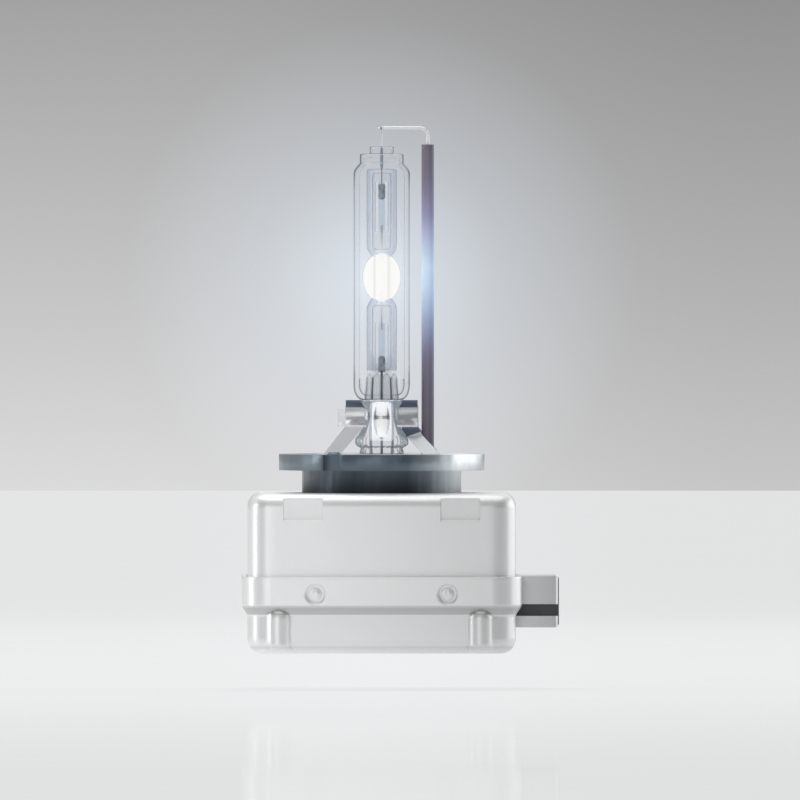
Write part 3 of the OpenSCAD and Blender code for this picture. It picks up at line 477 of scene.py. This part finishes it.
# Painted shade: the sleeve darkens towards its right side.
zoned(SLEEVE_MAT, X, 6, 8.4, [(6.2, grey(1.1)), (7.3, (0.95, 0.95, 1.0)), (8.0, (0.45, 0.55, 0.65))])
BUSH = finish_of("bush_ceramic", (0.95, 0.95, 0.94), 0.0, 0.45, 0.05, 0.02, 1500, 0.0002)
# Painted light: the bush glows evenly, standing in for the light that reaches it through the glass.
glowing(BUSH, (0.5, 0.5, 0.49))
STEATITE = finish_of("steatite", (0.9, 0.9, 0.88), 0.0, 0.55, 0.08, 0.03, 1500, 0.0005, blotch=250)
HOUSING = finish_of("housing_plastic", (0.035, 0.035, 0.04), 0.0, 0.5, 0.08, 0.1, 900, 0.0006, blotch=80)
PLUG_MAT = finish_of("connector_plastic", (0.045, 0.047, 0.05), 0.0, 0.42, 0.08, 0.1, 900, 0.0006, blotch=120)
TUNGSTEN = finish_of("tungsten", (0.3, 0.3, 0.32), 1.0, 0.35, 0.08, 0.08, 3000, 0.0003, blotch=400)
MOLY = finish_of("molybdenum", (0.3, 0.34, 0.4), 0.5, 0.38, 0.08, 0.08, 3000, 0.0002, blotch=400)
FOIL = finish_of("sealing_foil", (0.85, 0.9, 0.98), 0.0, 0.4, 0.08, 0.04, 3000, 0.0002, blotch=400)
FOIL_EDGES = [(0.46, (0.55, 0.62, 0.7)), (0.56, grey(1.0)), (0.9, grey(1.0)), (0.98, grey(0.3)),
              (1.06, grey(0.25))]
zoned(FOIL, X, -1.1, 1.1, [(-x, c) for x, c in reversed(FOIL_EDGES)] + FOIL_EDGES)
# Painted light: the foil glows evenly, standing in for the light on it.
glowing(FOIL, (0.2, 0.22, 0.24))
BRASS = finish_of("contact_brass", (0.8, 0.62, 0.32), 1.0, 0.28, 0.06, 0.06, 2000, 0.0003, blotch=200)
TINNED = finish_of("tinned_copper", (0.7, 0.7, 0.69), 1.0, 0.35, 0.08, 0.06, 2000, 0.0004, blotch=200)
FERRITE = finish_of("ferrite", (0.05, 0.05, 0.055), 0.0, 0.6, 0.1, 0.1, 1500, 0.0006, blotch=150)
BOBBIN = finish_of("bobbin_plastic", (0.62, 0.47, 0.3), 0.0, 0.45, 0.06, 0.05, 900, 0.0004, blotch=100)
COPPER = finish_of("copper", (0.72, 0.33, 0.14), 1.0, 0.32, 0.08, 0.1, 1200, 0.001, (8, 1, 1), 150)
RESIN = finish_of("resin", (0.02, 0.02, 0.025), 0.0, 0.25, 0.08, 0.1, 300, 0.001, blotch=60, coat=0.3)
LAMINATE = finish_of("board_laminate", (0.03, 0.2, 0.09), 0.0, 0.35, 0.06, 0.12, 1500, 0.0004, blotch=200,
                     coat=0.3)
FILM = finish_of("capacitor_film", (0.03, 0.1, 0.42), 0.0, 0.3, 0.06, 0.08, 700, 0.0004, blotch=120)
LACQUER = finish_of("resistor_coat", (0.62, 0.5, 0.32), 0.0, 0.4, 0.08, 0.08, 900, 0.0006, blotch=200)

# Painted light: the tail glass glows evenly, standing in for the light on it.
glowing(TAIL_GLASS, (0.6, 0.61, 0.62))
# Painted light: the electrodes glow with the arc's light, as emission.
lit(TUNGSTEN, 0.012, (0.12, 0.14, 0.17), (0.4, 0.44, 0.48))
# Painted light from the arc on the sleeve, as emission.
lit(SLEEVE_MAT, 0.022, (0.03, 0.035, 0.07), (0.13, 0.19, 0.22))

CAD_FINISH = {
    "upper_electrode lower_electrode": TUNGSTEN,
    "upper_foil lower_foil": FOIL,
    "upper_lead lower_lead": MOLY,
    "lead_insulator spark_gap_body": STEATITE,
    "lead_bush": BUSH,
    "return_weld lead_collar": NICKEL,
    "bulb_clamp": STRIP,
    "leg_front_left leg_back_left leg_back_right leg_ring": LEG_STEEL,
    "leg_front_right": FOLD_STEEL,
    "cap": CAP_MAT,
    "case_rivets": SATIN,
    "igniter_housing housing_cover": HOUSING,
    "connector_body": PLUG_MAT,
    "connector_screen_upper connector_screen_lower": SCREEN,
    "lead_contact return_terminal connector_pins": BRASS,
    "circuit_board": LAMINATE,
    "transformer_core": FERRITE,
    "transformer_bobbin": BOBBIN,
    "secondary_winding primary_winding": COPPER,
    "potting": RESIN,
    "high_voltage_lead spark_gap_electrodes capacitor_leads resistor_leads solder_joints": TINNED,
    "storage_capacitor": FILM,
    "discharge_resistor": LACQUER,
    "ceramic_sleeve": SLEEVE_MAT,
    "return_wire": NICKEL,
    "outer_bulb glass_stem": BULB_GLASS,
    "burner": QUARTZ,
    "shield_can": SATIN,
    "shield_pan": PAN_MAT,
}
EDGES = {"cap": 0.12, "connector_screen_upper": 0.08, "connector_screen_lower": 0.08, "connector_body": 0.1,
         "bulb_clamp": 0.05, "leg_front_left": 0.04, "leg_front_right": 0.04, "leg_back_left": 0.04,
         "leg_back_right": 0.04, "igniter_housing": 0.1, "housing_cover": 0.1, "circuit_board": 0.05,
         "storage_capacitor": 0.3, "potting": 0.2}
for names, mat in CAD_FINISH.items():
    for name in names.split():
        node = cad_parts[name]
        node.data.materials.clear()
        node.data.materials.append(mat)
        if name in EDGES:
            bevel(node, EDGES[name], weld=True)


# ---------- Burner and bulb ----------

def fluted(r, z, a):
    """The pressed flutes of the burner's skirt, each with an arched top."""
    if not STEM_TOP < z < SKIRT_TOP + 0.3 or r < 2.2:
        return r
    g = abs(math.sin((a + math.pi / 2) * FLUTES / 2))
    arch = SKIRT_TOP - 0.9 + 0.75 * math.sqrt(g)
    k = smooth((arch - z) / 0.25) * smooth((z - STEM_TOP) / 0.3)
    return r + k * (0.1 * math.sin(g * math.pi / 2) - 0.26 * (1 - g) ** 3)


TUBE_R, BORE_R = 2.35, 1.5
VESSEL_H, PINCH = 3.85, 58
UP, LOW = 1, -1


def tube_end(side):
    """The outline from the straight tube to the pinch at the vessel."""
    ends = ((TUBE_R, 5.2), (2.34, 4.85), (2.28, 4.5), (2.15, 4.15), (1.97, 3.85), (1.8, 3.6), (1.68, 3.42))
    return [(r, ARC_Z + side * z) for r, z in ends]


def ellipse(r, h, a0, a1, gap):
    angles = [math.radians(t) for t in spread(a0, a1, gap)]
    return [(r * math.cos(t), ARC_Z + h * math.sin(t)) for t in angles]


top, seam = BURNER[1][2], ARC_Z - 14.5
outer = [(0, top), (TUBE_R - 0.5, top)] + arc(TUBE_R - 0.4, top - 0.4, 0.4, 90, 0, 6)
outer += [(TUBE_R, z) for z in spread(top - 0.5, ARC_Z + 5.4, 3)] + tube_end(UP)
outer += ellipse(VESSEL_R, VESSEL_H, PINCH, -PINCH, 3) + tube_end(LOW)[::-1]
outer += [(TUBE_R, ARC_Z - 5.4), (TUBE_R, ARC_Z - 10), (TUBE_R, seam), (0, seam)]
inner_up = [(0, ARC_Z + 4.3), (1.1, ARC_Z + 4.3), (1.4, ARC_Z + 4.5), (BORE_R, ARC_Z + 4.9)]
hollow_up = inner_up + [(BORE_R, top - 0.9), (1.4, top - 0.68), (1.2, top - 0.62), (0, top - 0.6)]
hollow_low = [(r, 2 * ARC_Z - z) for r, z in inner_up]
hollow_low += [(BORE_R, seam + 0.3), (1.4, seam + 0.1), (0, seam + 0.05)]
core = ellipse(VESSEL_R - 0.06, VESSEL_H - 0.06, -90, 90, 4)
core[0], core[-1] = (0, core[0][1]), (0, core[-1][1])
skirt = [(0, seam - 0.01), (TUBE_R, seam - 0.01)]
for z in spread(seam - 0.05, STEM_TOP + 0.02, 0.09):
    skirt.append((TUBE_R + 0.25 * smooth((ARC_Z - 15 - z) / 4), z))
skirt += [(2.3, STEM_TOP + 0.01), (0, STEM_TOP + 0.01)]
tail = [(0, STEM_TOP), (1.85, STEM_TOP), (1.85, BURNER[0][2]), (0, BURNER[0][2])]
bore = [(0, STEM_TOP - 0.05), (1.3, STEM_TOP - 0.05), (1.3, BURNER[0][2] + 0.05), (0, BURNER[0][2] + 0.05)]
quartz = [lathe(outer, 96), lathe(hollow_up, mat=1), lathe(bore, 64, mat=1), lathe(hollow_low[::-1], mat=1)]
quartz += [lathe(core[::-1], mat=2), lathe(skirt, 240, fluted, mat=3), lathe(tail, 64, mat=4)]
glasses = [QUARTZ, QUARTZ_BORE, GLOW, SKIRT_GLASS, TAIL_GLASS, VESSEL]
burner = make("burner_quartz", quartz, glasses, ["burner"])
for f in burner.data.polygons:
    if f.material_index == 0 and abs(f.center[2] / MM - ARC_Z) < 3.3:
        f.material_index = glasses.index(VESSEL)

t, low = BULB_TOP, BULB_FOOT + 0.02
outer = [(0, t), (1.6, t)] + arc(1.7, t - 0.15, 0.15, 90, 0, 4)
outer += [(1.85, t - 0.95), (1.95, t - 1.08), (2.15, t - 1.12), (3.1, t - 1.14)]
outer += arc(3.2, t - 1.35, 0.2, 90, 0, 4)
outer += [(3.4, t - 2.45), (3.44, t - 2.62), (3.56, t - 2.78), (3.78, t - 3.02), (4.0, t - 3.28),
          (4.2, t - 3.58), (4.33, t - 3.9), (4.39, t - 4.25), (BULB_R, t - 4.6)]
outer += [(BULB_R, z) for z in spread(t - 6, low + 3, 6)]
outer += arc(3.1, low + 2.2, BULB_R - 3.1, 0, -90, 14, 2.2)
outer += [(2.64, low + 0.02), (2.64, low + 0.6)] + arc(2.64, low + 2.4, 0.94, -90, 0, 12, 1.7)
outer += [(3.58, low + 3.3)]
inner = [(3.58, z) for z in spread(low + 3.4, t - 5, 6)]
inner += [(3.56, t - 4.6), (3.46, t - 4.1), (3.3, t - 3.7), (3.08, t - 3.35), (2.86, t - 3.0),
          (2.78, t - 2.6), (2.78, t - 1.95), (2.68, t - 1.8), (1.75, t - 1.7), (1.56, t - 1.55),
          (1.52, t - 0.6), (1.4, t - 0.45), (0, t - 0.42)]
BULB_SEGS = 128
bulb = make("bulb_glass", [lathe(outer + inner, BULB_SEGS)], [BULB_GLASS, BULB_INNER], ["outer_bulb"])
for i, f in enumerate(bulb.data.polygons):
    if i >= BULB_SEGS * (len(outer) - 1):
        f.material_index = 1


def beaded(r, z, a):
    """The uneven bead of the stem's foot."""
    k = smooth(z / 0.5) * smooth((3.2 - z) / 0.8) * smooth((r - 2.9) / 0.4)
    return r + k * (0.07 * math.sin(17 * a) + 0.05 * math.sin(29 * a + 1.3) * math.sin(3.1 * z + 2 * a))


spigot = STEM[0][2]
outer = [(1.93, spigot), (2.4, spigot), (2.4, -0.05), (2.55, 0.02), (3.42, 0.04), (3.45, 0.2), (3.3, 0.5),
         (3.22, 0.8), (3.35, 1.0), (3.7, 1.15), (3.98, 1.4), (4.1, 1.7), (4.12, 2.0), (4.05, 2.3),
         (3.96, 2.5)]
outer += [(2.28 + 1.65 * (1 - i / 16) ** 1.4, 2.55 + 3.45 * i / 16) for i in range(1, 17)]
outer += [(2.28 + 1.42 * (i / 12) ** 2, 6 + 2.36 * i / 12) for i in range(1, 13)]
outer += [(3.6, STEM_TOP - 0.01), (2.7, STEM_TOP - 0.02), (2.3, STEM_TOP - 0.25), (1.93, STEM_TOP - 0.6)]
make("stem_glass", [lathe(outer, 176, beaded)], STEM_GLASS, ["glass_stem"])


# ---------- Leads ----------

def tab(z0, z1, half, y):
    """The flattened end of a lead on a foil, round at the end z0."""
    side = 1 if z1 > z0 else -1
    pts = [(half * math.cos(a), z0 + side * half * (1 + math.sin(a)))
           for a in [math.pi + math.pi * i / 10 for i in range(11)]]
    pts += [(half, z1), (-half, z1)]
    return plate(pts if side > 0 else pts[::-1], y - 0.1, y)


SLEEVE_R, SLEEVE_BORE = (SLEEVE[1][0] - SLEEVE[0][0]) / 2, 0.4
SLEEVE_X = (SLEEVE[1][0] + SLEEVE[0][0]) / 2
WIRE_R = WIRE[1][0] - SLEEVE[0][0] - SLEEVE_R
WIRE_X, WIRE_TOP = WIRE[1][0] - WIRE_R, WIRE[1][2] - WIRE_R
FOIL_Y = -0.045
t, foil = BULB_TOP, FOIL_UP[1][2]
upper = [(0, WIRE_TOP - 0.1), (0.09, WIRE_TOP - 0.15), (0.09, t + 0.05), (0.1, t - 0.1), (0.2, t - 0.5),
         (0.26, t - 1.2), (0.27, t - 2.2), (0.26, t - 2.9), (0.16, t - 3.4), (0.1, t - 3.8),
         (0.11, foil + 0.1), (0.11, foil - 0.5), (0, foil - 0.5)]
upper_shells = [lathe(upper[::-1], 24), tab(foil - 2.75, foil - 0.35, 0.53, FOIL_Y)]
lead = make("upper_lead_wire", upper_shells, [MOLY, RETURN_STEEL], ["upper_lead"])
for f in lead.data.polygons:
    if f.center[2] / MM > BULB_TOP + 0.05:
        f.material_index = 1
low_end, foil = box_mm("lower_lead")[0][2], FOIL_LOW[0][2]
lower = [(0, low_end), (0.2, low_end), (0.2, foil + 0.4), (0, foil + 0.4)]
lower_shells = [lathe(lower, 24), tab(foil + 2.65, foil + 0.15, 0.55, FOIL_Y)]
make("lower_lead_wire", lower_shells, MOLY, ["lower_lead"])
BEND = 1.25
path = [(WIRE_X, 0, z) for z in spread(WIRE[0][2], WIRE_TOP - BEND, 6)]
path += [(WIRE_X - BEND + x, 0, z) for x, z in arc(0, WIRE_TOP - BEND, BEND, 0, 90, 12)[1:]]
path += [(x, 0, WIRE_TOP) for x in spread(WIRE_X - BEND, WIRE[0][0] + 0.02, 1.2)[1:]]
total = WIRE_TOP - BEND - WIRE[0][2] + BEND * math.pi / 2 + WIRE_X - BEND - WIRE[0][0]


def tapered(run):
    """The return wire's radius, drawn in at its free end."""
    return WIRE_R * (0.5 + 0.46 * smooth((total - run) / 0.8))


make("return_wire_bent", [wire(path, tapered)], RETURN_STEEL, ["return_wire"])
bead = [(0.05 + 0.2 * math.sin(math.pi * i / 10), WIRE_TOP - 0.28 + 0.52 * i / 10) for i in range(1, 10)]
bead = [(0, WIRE_TOP - 0.28)] + bead + [(0, WIRE_TOP + 0.24)]
make("weld_bead", [lathe(bead, 24, at=-0.12)], MOLY, ["return_weld"])
r, z0, z1, ease = SLEEVE_R, SLEEVE[0][2], SLEEVE[1][2], 0.06
sleeve = [(SLEEVE_BORE, z0), (r - ease, z0), (r, z0 + ease)] + [(r, z) for z in spread(z0 + 1, z1 - 1, 2.5)]
sleeve += [(r, z1 - ease), (r - ease, z1), (SLEEVE_BORE, z1)]
make("sleeve_tube", [lathe(sleeve, 48, at=SLEEVE_X)], SLEEVE_MAT, ["ceramic_sleeve"])


# ---------- Case ----------

CORNER, EDGE, SHEET = 3.6, 2.3, 0.8
CORNER_STEPS = 10
INSET = 3.3    # how far the flat top and bottom start inside the wall
FLAT = 0.999   # a normal beyond this is on a side and not on a corner
HOLE, HOLE_R = -99, 11.05    # HOLE marks the rows on the round hole


def around(half_w, half_l, r, marks_x, marks_y):
    """Stations round a rectangle with round corners: (centre x, centre y, normal x, normal y). Marks are
    places on a side that need close stations."""
    def side(limit, marks):
        pts = set(round(v, 4) for v in spread(-limit, limit, 1.0))
        for lo, hi, gap in marks:
            pts |= set(round(v, 4) for v in spread(lo, hi, gap) if abs(v) < limit)
        return sorted(pts)
    a, b = half_w - r, half_l - r
    out = []
    for turn in range(4):
        ang = math.pi / 2 * (turn - 1)
        nx, ny = round(math.cos(ang)), round(math.sin(ang))
        marks = marks_x if turn % 2 == 0 else marks_y
        run = side(a if turn % 2 == 0 else b, marks)
        for t in run[:-1]:
            out.append((-ny * t + nx * a, nx * t + ny * b, nx, ny))
        ex, ey = -ny * run[-1] + nx * a, nx * run[-1] + ny * b
        for i in range(CORNER_STEPS):
            q = ang + math.pi / 2 * i / CORNER_STEPS
            out.append((ex, ey, math.cos(q), math.sin(q)))
    return out


def shell(stations, outline, name, mat, push, gate, stands_for):
    """A pressed sheet form. outline is a closed list of (offset, z, side) rows, where side is 1 on the outer
    skin and -1 on the inner one, or 0 at an edge. push(x, y, nx, ny, offset, z, side) gives a point's offset.
    gate is an opening (y half width, z low, z high) in the side that looks along +X. An offset of HOLE puts a
    row on the round hole in the top; otherwise the ends are closed."""
    cols, rows = len(stations), len(outline)
    verts = []
    for off, z, side in outline:
        for cx, cy, nx, ny in stations:
            if off == HOLE:
                x, y = cx + nx * CORNER, cy + ny * CORNER
                k = HOLE_R / math.hypot(x, y)
                verts.append((x * k, y * k, z))
            else:
                o = push(cx + nx * CORNER, cy + ny * CORNER, nx, ny, off, z, side)
                verts.append((cx + nx * (CORNER + o), cy + ny * (CORNER + o), z))
    faces = []

    def cut(i, j):
        """Whether a face lies in the gate."""
        half, low, high = gate
        cy, nx = stations[j][1:3]
        next_cy, next_nx = stations[(j + 1) % cols][1:3]
        z = (outline[i][1] + outline[(i + 1) % rows][1]) / 2
        off = min(outline[i][0], outline[(i + 1) % rows][0])
        flat = nx > FLAT and next_nx > FLAT
        return flat and abs(cy + next_cy) / 2 < half and low < z < high and off > -2

    closed = outline[0][0] != HOLE
    if closed:
        faces += [tuple(reversed(range(cols))), tuple((rows - 1) * cols + j for j in range(cols))]
    for i in range(rows - closed):
        i2 = (i + 1) % rows
        for j in range(cols):
            if not cut(i, j):
                j2 = (j + 1) % cols
                faces.append((i * cols + j, i * cols + j2, i2 * cols + j2, i2 * cols + j))
    return make(name, [(verts, faces)], mat, stands_for)


def press(v, lo, hi, soft):
    return step(v, lo, soft) * (1 - step(v, hi, soft))


POCKET_X, POCKET_HALF, POCKET_DEEP, POCKET_LOW = 12.25, 3.05, 0.6, CASE_TOP - 4.05
DIMPLE, DIMPLE_R = 0.36, 1.5
RIVET_X = 10.3
RIVET_Z = (RIVETS[0][2] + RIVETS[1][2]) / 2
RIBS = (-16.1, 15.4)
RIB_R, RIB_SUNK, RIB_DOME, RIB_FOOT, RIB_BLEND = 2.08, 0.8, 1.7, 1.4, 0.12
RIB_TOP = RIM_TOP - 4.8


def can_push(x, y, nx, ny, off, z, side):
    """Where a point of the can goes: the pockets have a flat floor, and a slope at the bottom."""
    skin = 0 if side > 0 else SHEET
    if abs(ny) < FLAT or off + skin < -POCKET_DEEP:
        return off
    k = 0.0
    for c in (-POCKET_X, POCKET_X):
        k += press(x, c - POCKET_HALF, c + POCKET_HALF, 0.07) * step(z, POCKET_LOW, 0.5)
    return off - min(k, 1.0) * (off + skin + POCKET_DEEP)


def pan_push(x, y, nx, ny, off, z, side):
    """Where a point of the pan goes: dimples round the rivets, and ribs with a domed top."""
    skin = 0 if side > 0 else SHEET
    base = off + skin
    if base < -1.5:
        return off
    faces = [x] if abs(ny) > FLAT else ([y] if nx < -FLAT else [])
    for t in faces:
        for c in (-RIVET_X, RIVET_X):
            r = math.hypot(t - c, z - RIVET_Z)
            base -= DIMPLE * (1 - step(r, DIMPLE_R, 0.32))
    if abs(ny) > FLAT and z < RIB_TOP:
        up = math.sqrt(max(0.0, 1 - (max(0.0, z - RIB_TOP + RIB_DOME) / RIB_DOME) ** 2))
        low = math.sqrt(max(0.0, 1 - (max(0.0, CASE_BOTTOM + RIB_FOOT - z) / RIB_FOOT) ** 2))
        for c in RIBS:
            h = math.sqrt(max(0.0, (RIB_R * up) ** 2 - (x - c) ** 2))
            if h > 0:
                rib = (h - RIB_SUNK + EDGE) * low - EDGE
                d = rib - base
                if abs(d) > RIB_BLEND:
                    base = max(base, rib)
                else:
                    base += (d + RIB_BLEND) ** 2 / (4 * RIB_BLEND)
    return base - skin


def can_outline():
    wall_low = RIM_TOP - 4.4
    zs = spread(CASE_TOP - EDGE, POCKET_LOW + 0.3, 0.4)[1:]
    zs += spread(POCKET_LOW + 0.3, POCKET_LOW - 0.3, 0.06)[1:]
    zs += spread(POCKET_LOW - 0.3, wall_low, 1.0)[1:]
    outer = [(HOLE, CASE_TOP, 1), (-INSET, CASE_TOP, 1)]
    outer += [(p[0], p[1], 1) for p in arc(-EDGE, CASE_TOP - EDGE, EDGE, 90, 0, 30)]
    outer += [(0, z, 1) for z in zs]
    inner = [(-SHEET, wall_low, -1)] + [(-SHEET, z, -1) for z in reversed(zs[:-1])]
    inner += [(p[0], p[1], -1) for p in arc(-EDGE, CASE_TOP - EDGE, EDGE - SHEET, 0, 90, 8)]
    inner += [(-INSET, CASE_TOP - SHEET, -1), (HOLE, CASE_TOP - SHEET, -1)]
    return outer + inner


def pan_outline():
    e, s = EDGE, SHEET
    rim_low, slope_low = RIM_TOP - 4.5, RIM_TOP - 5.9
    bottom = CASE_BOTTOM

    def skin(k):
        """From the middle of the bottom to the lip; k is 0 outside and the sheet inside."""
        pts = [(-INSET, bottom + k)]
        pts += arc(-e, bottom + e, e - k, -90, 0, 14)
        pts += [(-k, z) for z in spread(bottom + e, slope_low - 0.35, 0.2)[1:]]
        pts += [(-k + RIM_OUT * smooth(t), slope_low - 0.35 + (rim_low + 0.45 - slope_low) * t)
                for t in [i / 12 for i in range(1, 12)]]
        pts += [(RIM_OUT - k, z) for z in spread(rim_low + 0.1, RIM_TOP - 0.18, 0.14)]
        return pts
    outer = [(o, z, 1) for o, z in skin(0)]
    lip = [(RIM_OUT - 0.05, RIM_TOP - 0.05, 0), (RIM_OUT - 0.18, RIM_TOP, 0), (RIM_OUT - s + 0.1, RIM_TOP, 0)]
    inner = [(o, z, -1) for o, z in reversed(skin(s))]
    return outer + lip + inner


fine_x = []
for pocket in (-POCKET_X, POCKET_X):
    for edge in (pocket - POCKET_HALF, pocket + POCKET_HALF):
        fine_x.append((edge - 0.16, edge + 0.16, 0.04))
gate_y = [(-PLUG_HALF - 0.1, -PLUG_HALF + 1, 0.55), (PLUG_HALF - 1, PLUG_HALF + 0.1, 0.55)]
fine_rivets = [(c - 2.3, c + 2.3, 0.14) for c in (-RIVET_X, RIVET_X)]
fine_ribs = [(c - 2.6, c + 2.6, 0.13) for c in RIBS]
can_st = around(HALF_W, HALF_L, CORNER, fine_x, gate_y)
pan_st = around(HALF_W, HALF_L, CORNER, fine_rivets + fine_ribs, gate_y + fine_rivets)
GATE_HALF, OPEN = PLUG_HALF + 0.1, 99
can_gate, pan_gate = (GATE_HALF, -OPEN, PLUG_TOP), (GATE_HALF, PLUG_BOTTOM, OPEN)
can = shell(can_st, can_outline(), "can_shell", SATIN, can_push, can_gate, ["shield_can"])
pan = shell(pan_st, pan_outline(), "pan_shell", PAN_MAT, pan_push, pan_gate, ["shield_pan"])
sharpen(can, 50)
sharpen(pan, 50)


# ---------- Floor, backdrop, light and camera ----------

GLOW_Z, GLOW_R = -0.014, 0.04
DOME_R, DOME_TURN, DOME_RISE = 4.0, 96, 48


def glow_behind(nt, coord):
    """A painted soft round glow on the backdrop behind the arc."""
    place = add(nt, "Mapping", {"Vector": coord, "Location": (0, 0, GLOW_Z), "Scale": (GLOW_R, 1000, GLOW_R)},
                vector_type="TEXTURE")
    far = add(nt, "VectorMath", {0: place.outputs["Vector"]}, operation="LENGTH").outputs["Value"]
    return ramp(nt, far, [(0.0, (0.2, 0.26, 0.32)), (0.5, (0.07, 0.09, 0.12)), (1.0, grey(0))])


def backdrop():
    """A far dome: a grey sweep behind, with a painted glow from the lamp, and darker flanks in front."""
    mat, nt, bsdf, coord = shader("backdrop")
    nt.nodes.remove(bsdf)
    at = xyz(nt, coord)
    up = along(nt, at["Z"], -0.05, 0.03)
    sweep = ramp(nt, up, [(0.0, grey(0.72)), (0.35, grey(0.58)), (1.0, grey(0.36))])
    right = ramp(nt, along(nt, at["X"], -0.03, 0.06, kind="SMOOTHSTEP"), [(0.0, grey(1)), (1.0, grey(0.8))])
    high = ramp(nt, along(nt, at["Z"], 0.2, 2.5), [(0.0, grey(0)), (1.0, grey(0.32))])
    color = mixed(nt, mixed(nt, sweep, right, "MULTIPLY"), high, "ADD")
    color = mixed(nt, color, glow_behind(nt, coord), "ADD")
    aside = along(nt, maths(nt, "ABSOLUTE", at["X"]), 0, DOME_R)
    flank = ramp(nt, aside, [(0.0, grey(0.8)), (0.28, grey(0.62)), (0.42, grey(0.2)), (0.8, grey(0.2)),
                             (0.97, grey(0.9))])
    front = mixed(nt, color, flank, "MULTIPLY")
    color = mixed(nt, color, front, factor=along(nt, at["Y"], 0.3, -0.3))
    em = add(nt, "Emission", {"Color": color})
    nt.links.new(em.outputs["Emission"], nt.nodes["Material Output"].inputs["Surface"])
    mat.cycles.emission_sampling = "NONE"
    verts, faces, n = [], [], DOME_TURN
    for i in range(DOME_RISE + 1):
        p = math.pi * i / DOME_RISE
        for j in range(n):
            q = TAU * j / n
            ring = DOME_R * math.sin(p)
            verts.append((ring * math.cos(q), ring * math.sin(q), DOME_R * math.cos(p)))
    for i in range(DOME_RISE):
        for j in range(n):
            faces.append((i * n + j, i * n + (j + 1) % n, (i + 1) * n + (j + 1) % n, (i + 1) * n + j))
    staged("backdrop", verts, faces, mat)


def staged(name, verts, faces, mat):
    mesh = bpy.data.meshes.new(name)
    mesh.from_pydata(verts, [], faces)
    mesh.materials.append(mat)
    mesh.polygons.foreach_set("use_smooth", [True] * len(mesh.polygons))
    obj = bpy.data.objects.new(name, mesh)
    bpy.context.scene.collection.objects.link(obj)


FLOOR_DROP = 5.7
FLOOR_R, FLOOR_SIDES = 2.95, 128


def floor():
    """A plain pale floor with a faint mirror."""
    mat, nt, bsdf, coord = shader("floor")
    nt.nodes.remove(bsdf)
    soft = noise(nt, coord, 30, 3)
    own = add(nt, "Emission", {"Color": (0.8, 0.805, 0.81, 1), "Strength": 0.885})
    matt = add(nt, "BsdfDiffuse", {"Color": ramp(nt, soft, [(0.3, grey(0.2)), (0.7, grey(0.21))])})
    uneven = ramp(nt, soft, [(0.3, grey(0.02)), (0.7, grey(0.035))])
    gloss = add(nt, "BsdfGlossy", {"Color": (0.95, 0.95, 0.95, 1), "Roughness": uneven})
    both = add(nt, "AddShader", {0: own.outputs["Emission"], 1: matt.outputs["BSDF"]})
    blend = add(nt, "MixShader", {"Fac": 0.14, 1: both.outputs["Shader"], 2: gloss.outputs["BSDF"]})
    nt.links.new(blend.outputs["Shader"], nt.nodes["Material Output"].inputs["Surface"])
    mat.cycles.emission_sampling = "NONE"
    z = (CASE_BOTTOM - FLOOR_DROP) * MM
    turns = [TAU * i / FLOOR_SIDES for i in range(FLOOR_SIDES)]
    rim = [(FLOOR_R * math.cos(q), FLOOR_R * math.sin(q), z) for q in turns]
    staged("floor", rim, [tuple(range(FLOOR_SIDES))], mat)


def softbox(name, place, look, width, height, power, color=(1, 1, 1)):
    light = bpy.data.lights.new(name, "AREA")
    light.shape = "RECTANGLE"
    light.size, light.size_y = width, height
    light.energy = power
    light.color = color
    obj = bpy.data.objects.new(name, light)
    obj.location = place
    obj.rotation_euler = (Vector(look) - Vector(place)).to_track_quat("-Z", "Y").to_euler()
    bpy.context.scene.collection.objects.link(obj)
    obj.visible_camera = False


backdrop()
floor()
softbox("key_front", (-0.55, -2.3, 0.3), (0, 0, -0.01), 1.3, 0.9, 5.0)
softbox("side_right", (0.75, 0.32, 0.12), (0, 0, 0), 1.0, 0.7, 3.4)
softbox("strip_left", (-0.85, -0.1, 0.08), (0, 0, 0), 0.16, 0.7, 1.7)
softbox("top", (0, 0.1, 0.9), (0, 0, 0), 1.1, 1.1, 5.0)
softbox("back", (0.2, 0.9, 0.4), (0, 0, 0), 0.6, 0.5, 0.6)

camera = bpy.data.cameras.new("camera")
camera.type = "ORTHO"
camera.ortho_scale = 0.1246
camera.clip_end = 20
cam = bpy.data.objects.new("camera", camera)
TILT, AWAY = math.radians(0.6), 2.4
AIM_X, AIM_Z = 0.00285, 0.0084
cam.location = (AIM_X, -AWAY * math.cos(TILT), AIM_Z + AWAY * math.sin(TILT))
cam.rotation_euler = (math.pi / 2 - TILT, 0, 0)
bpy.context.scene.collection.objects.link(cam)
bpy.context.scene.camera = cam
bpy.context.scene.view_settings.view_transform = "Standard"
cycles = bpy.context.scene.cycles
cycles.max_bounces = 24
cycles.transmission_bounces = 20
cycles.glossy_bounces = 6
cycles.sample_clamp_indirect = 4
world = bpy.data.worlds.new("world")
bpy.context.scene.world = world
world.use_nodes = True
world.node_tree.nodes["Background"].inputs["Strength"].default_value = 0
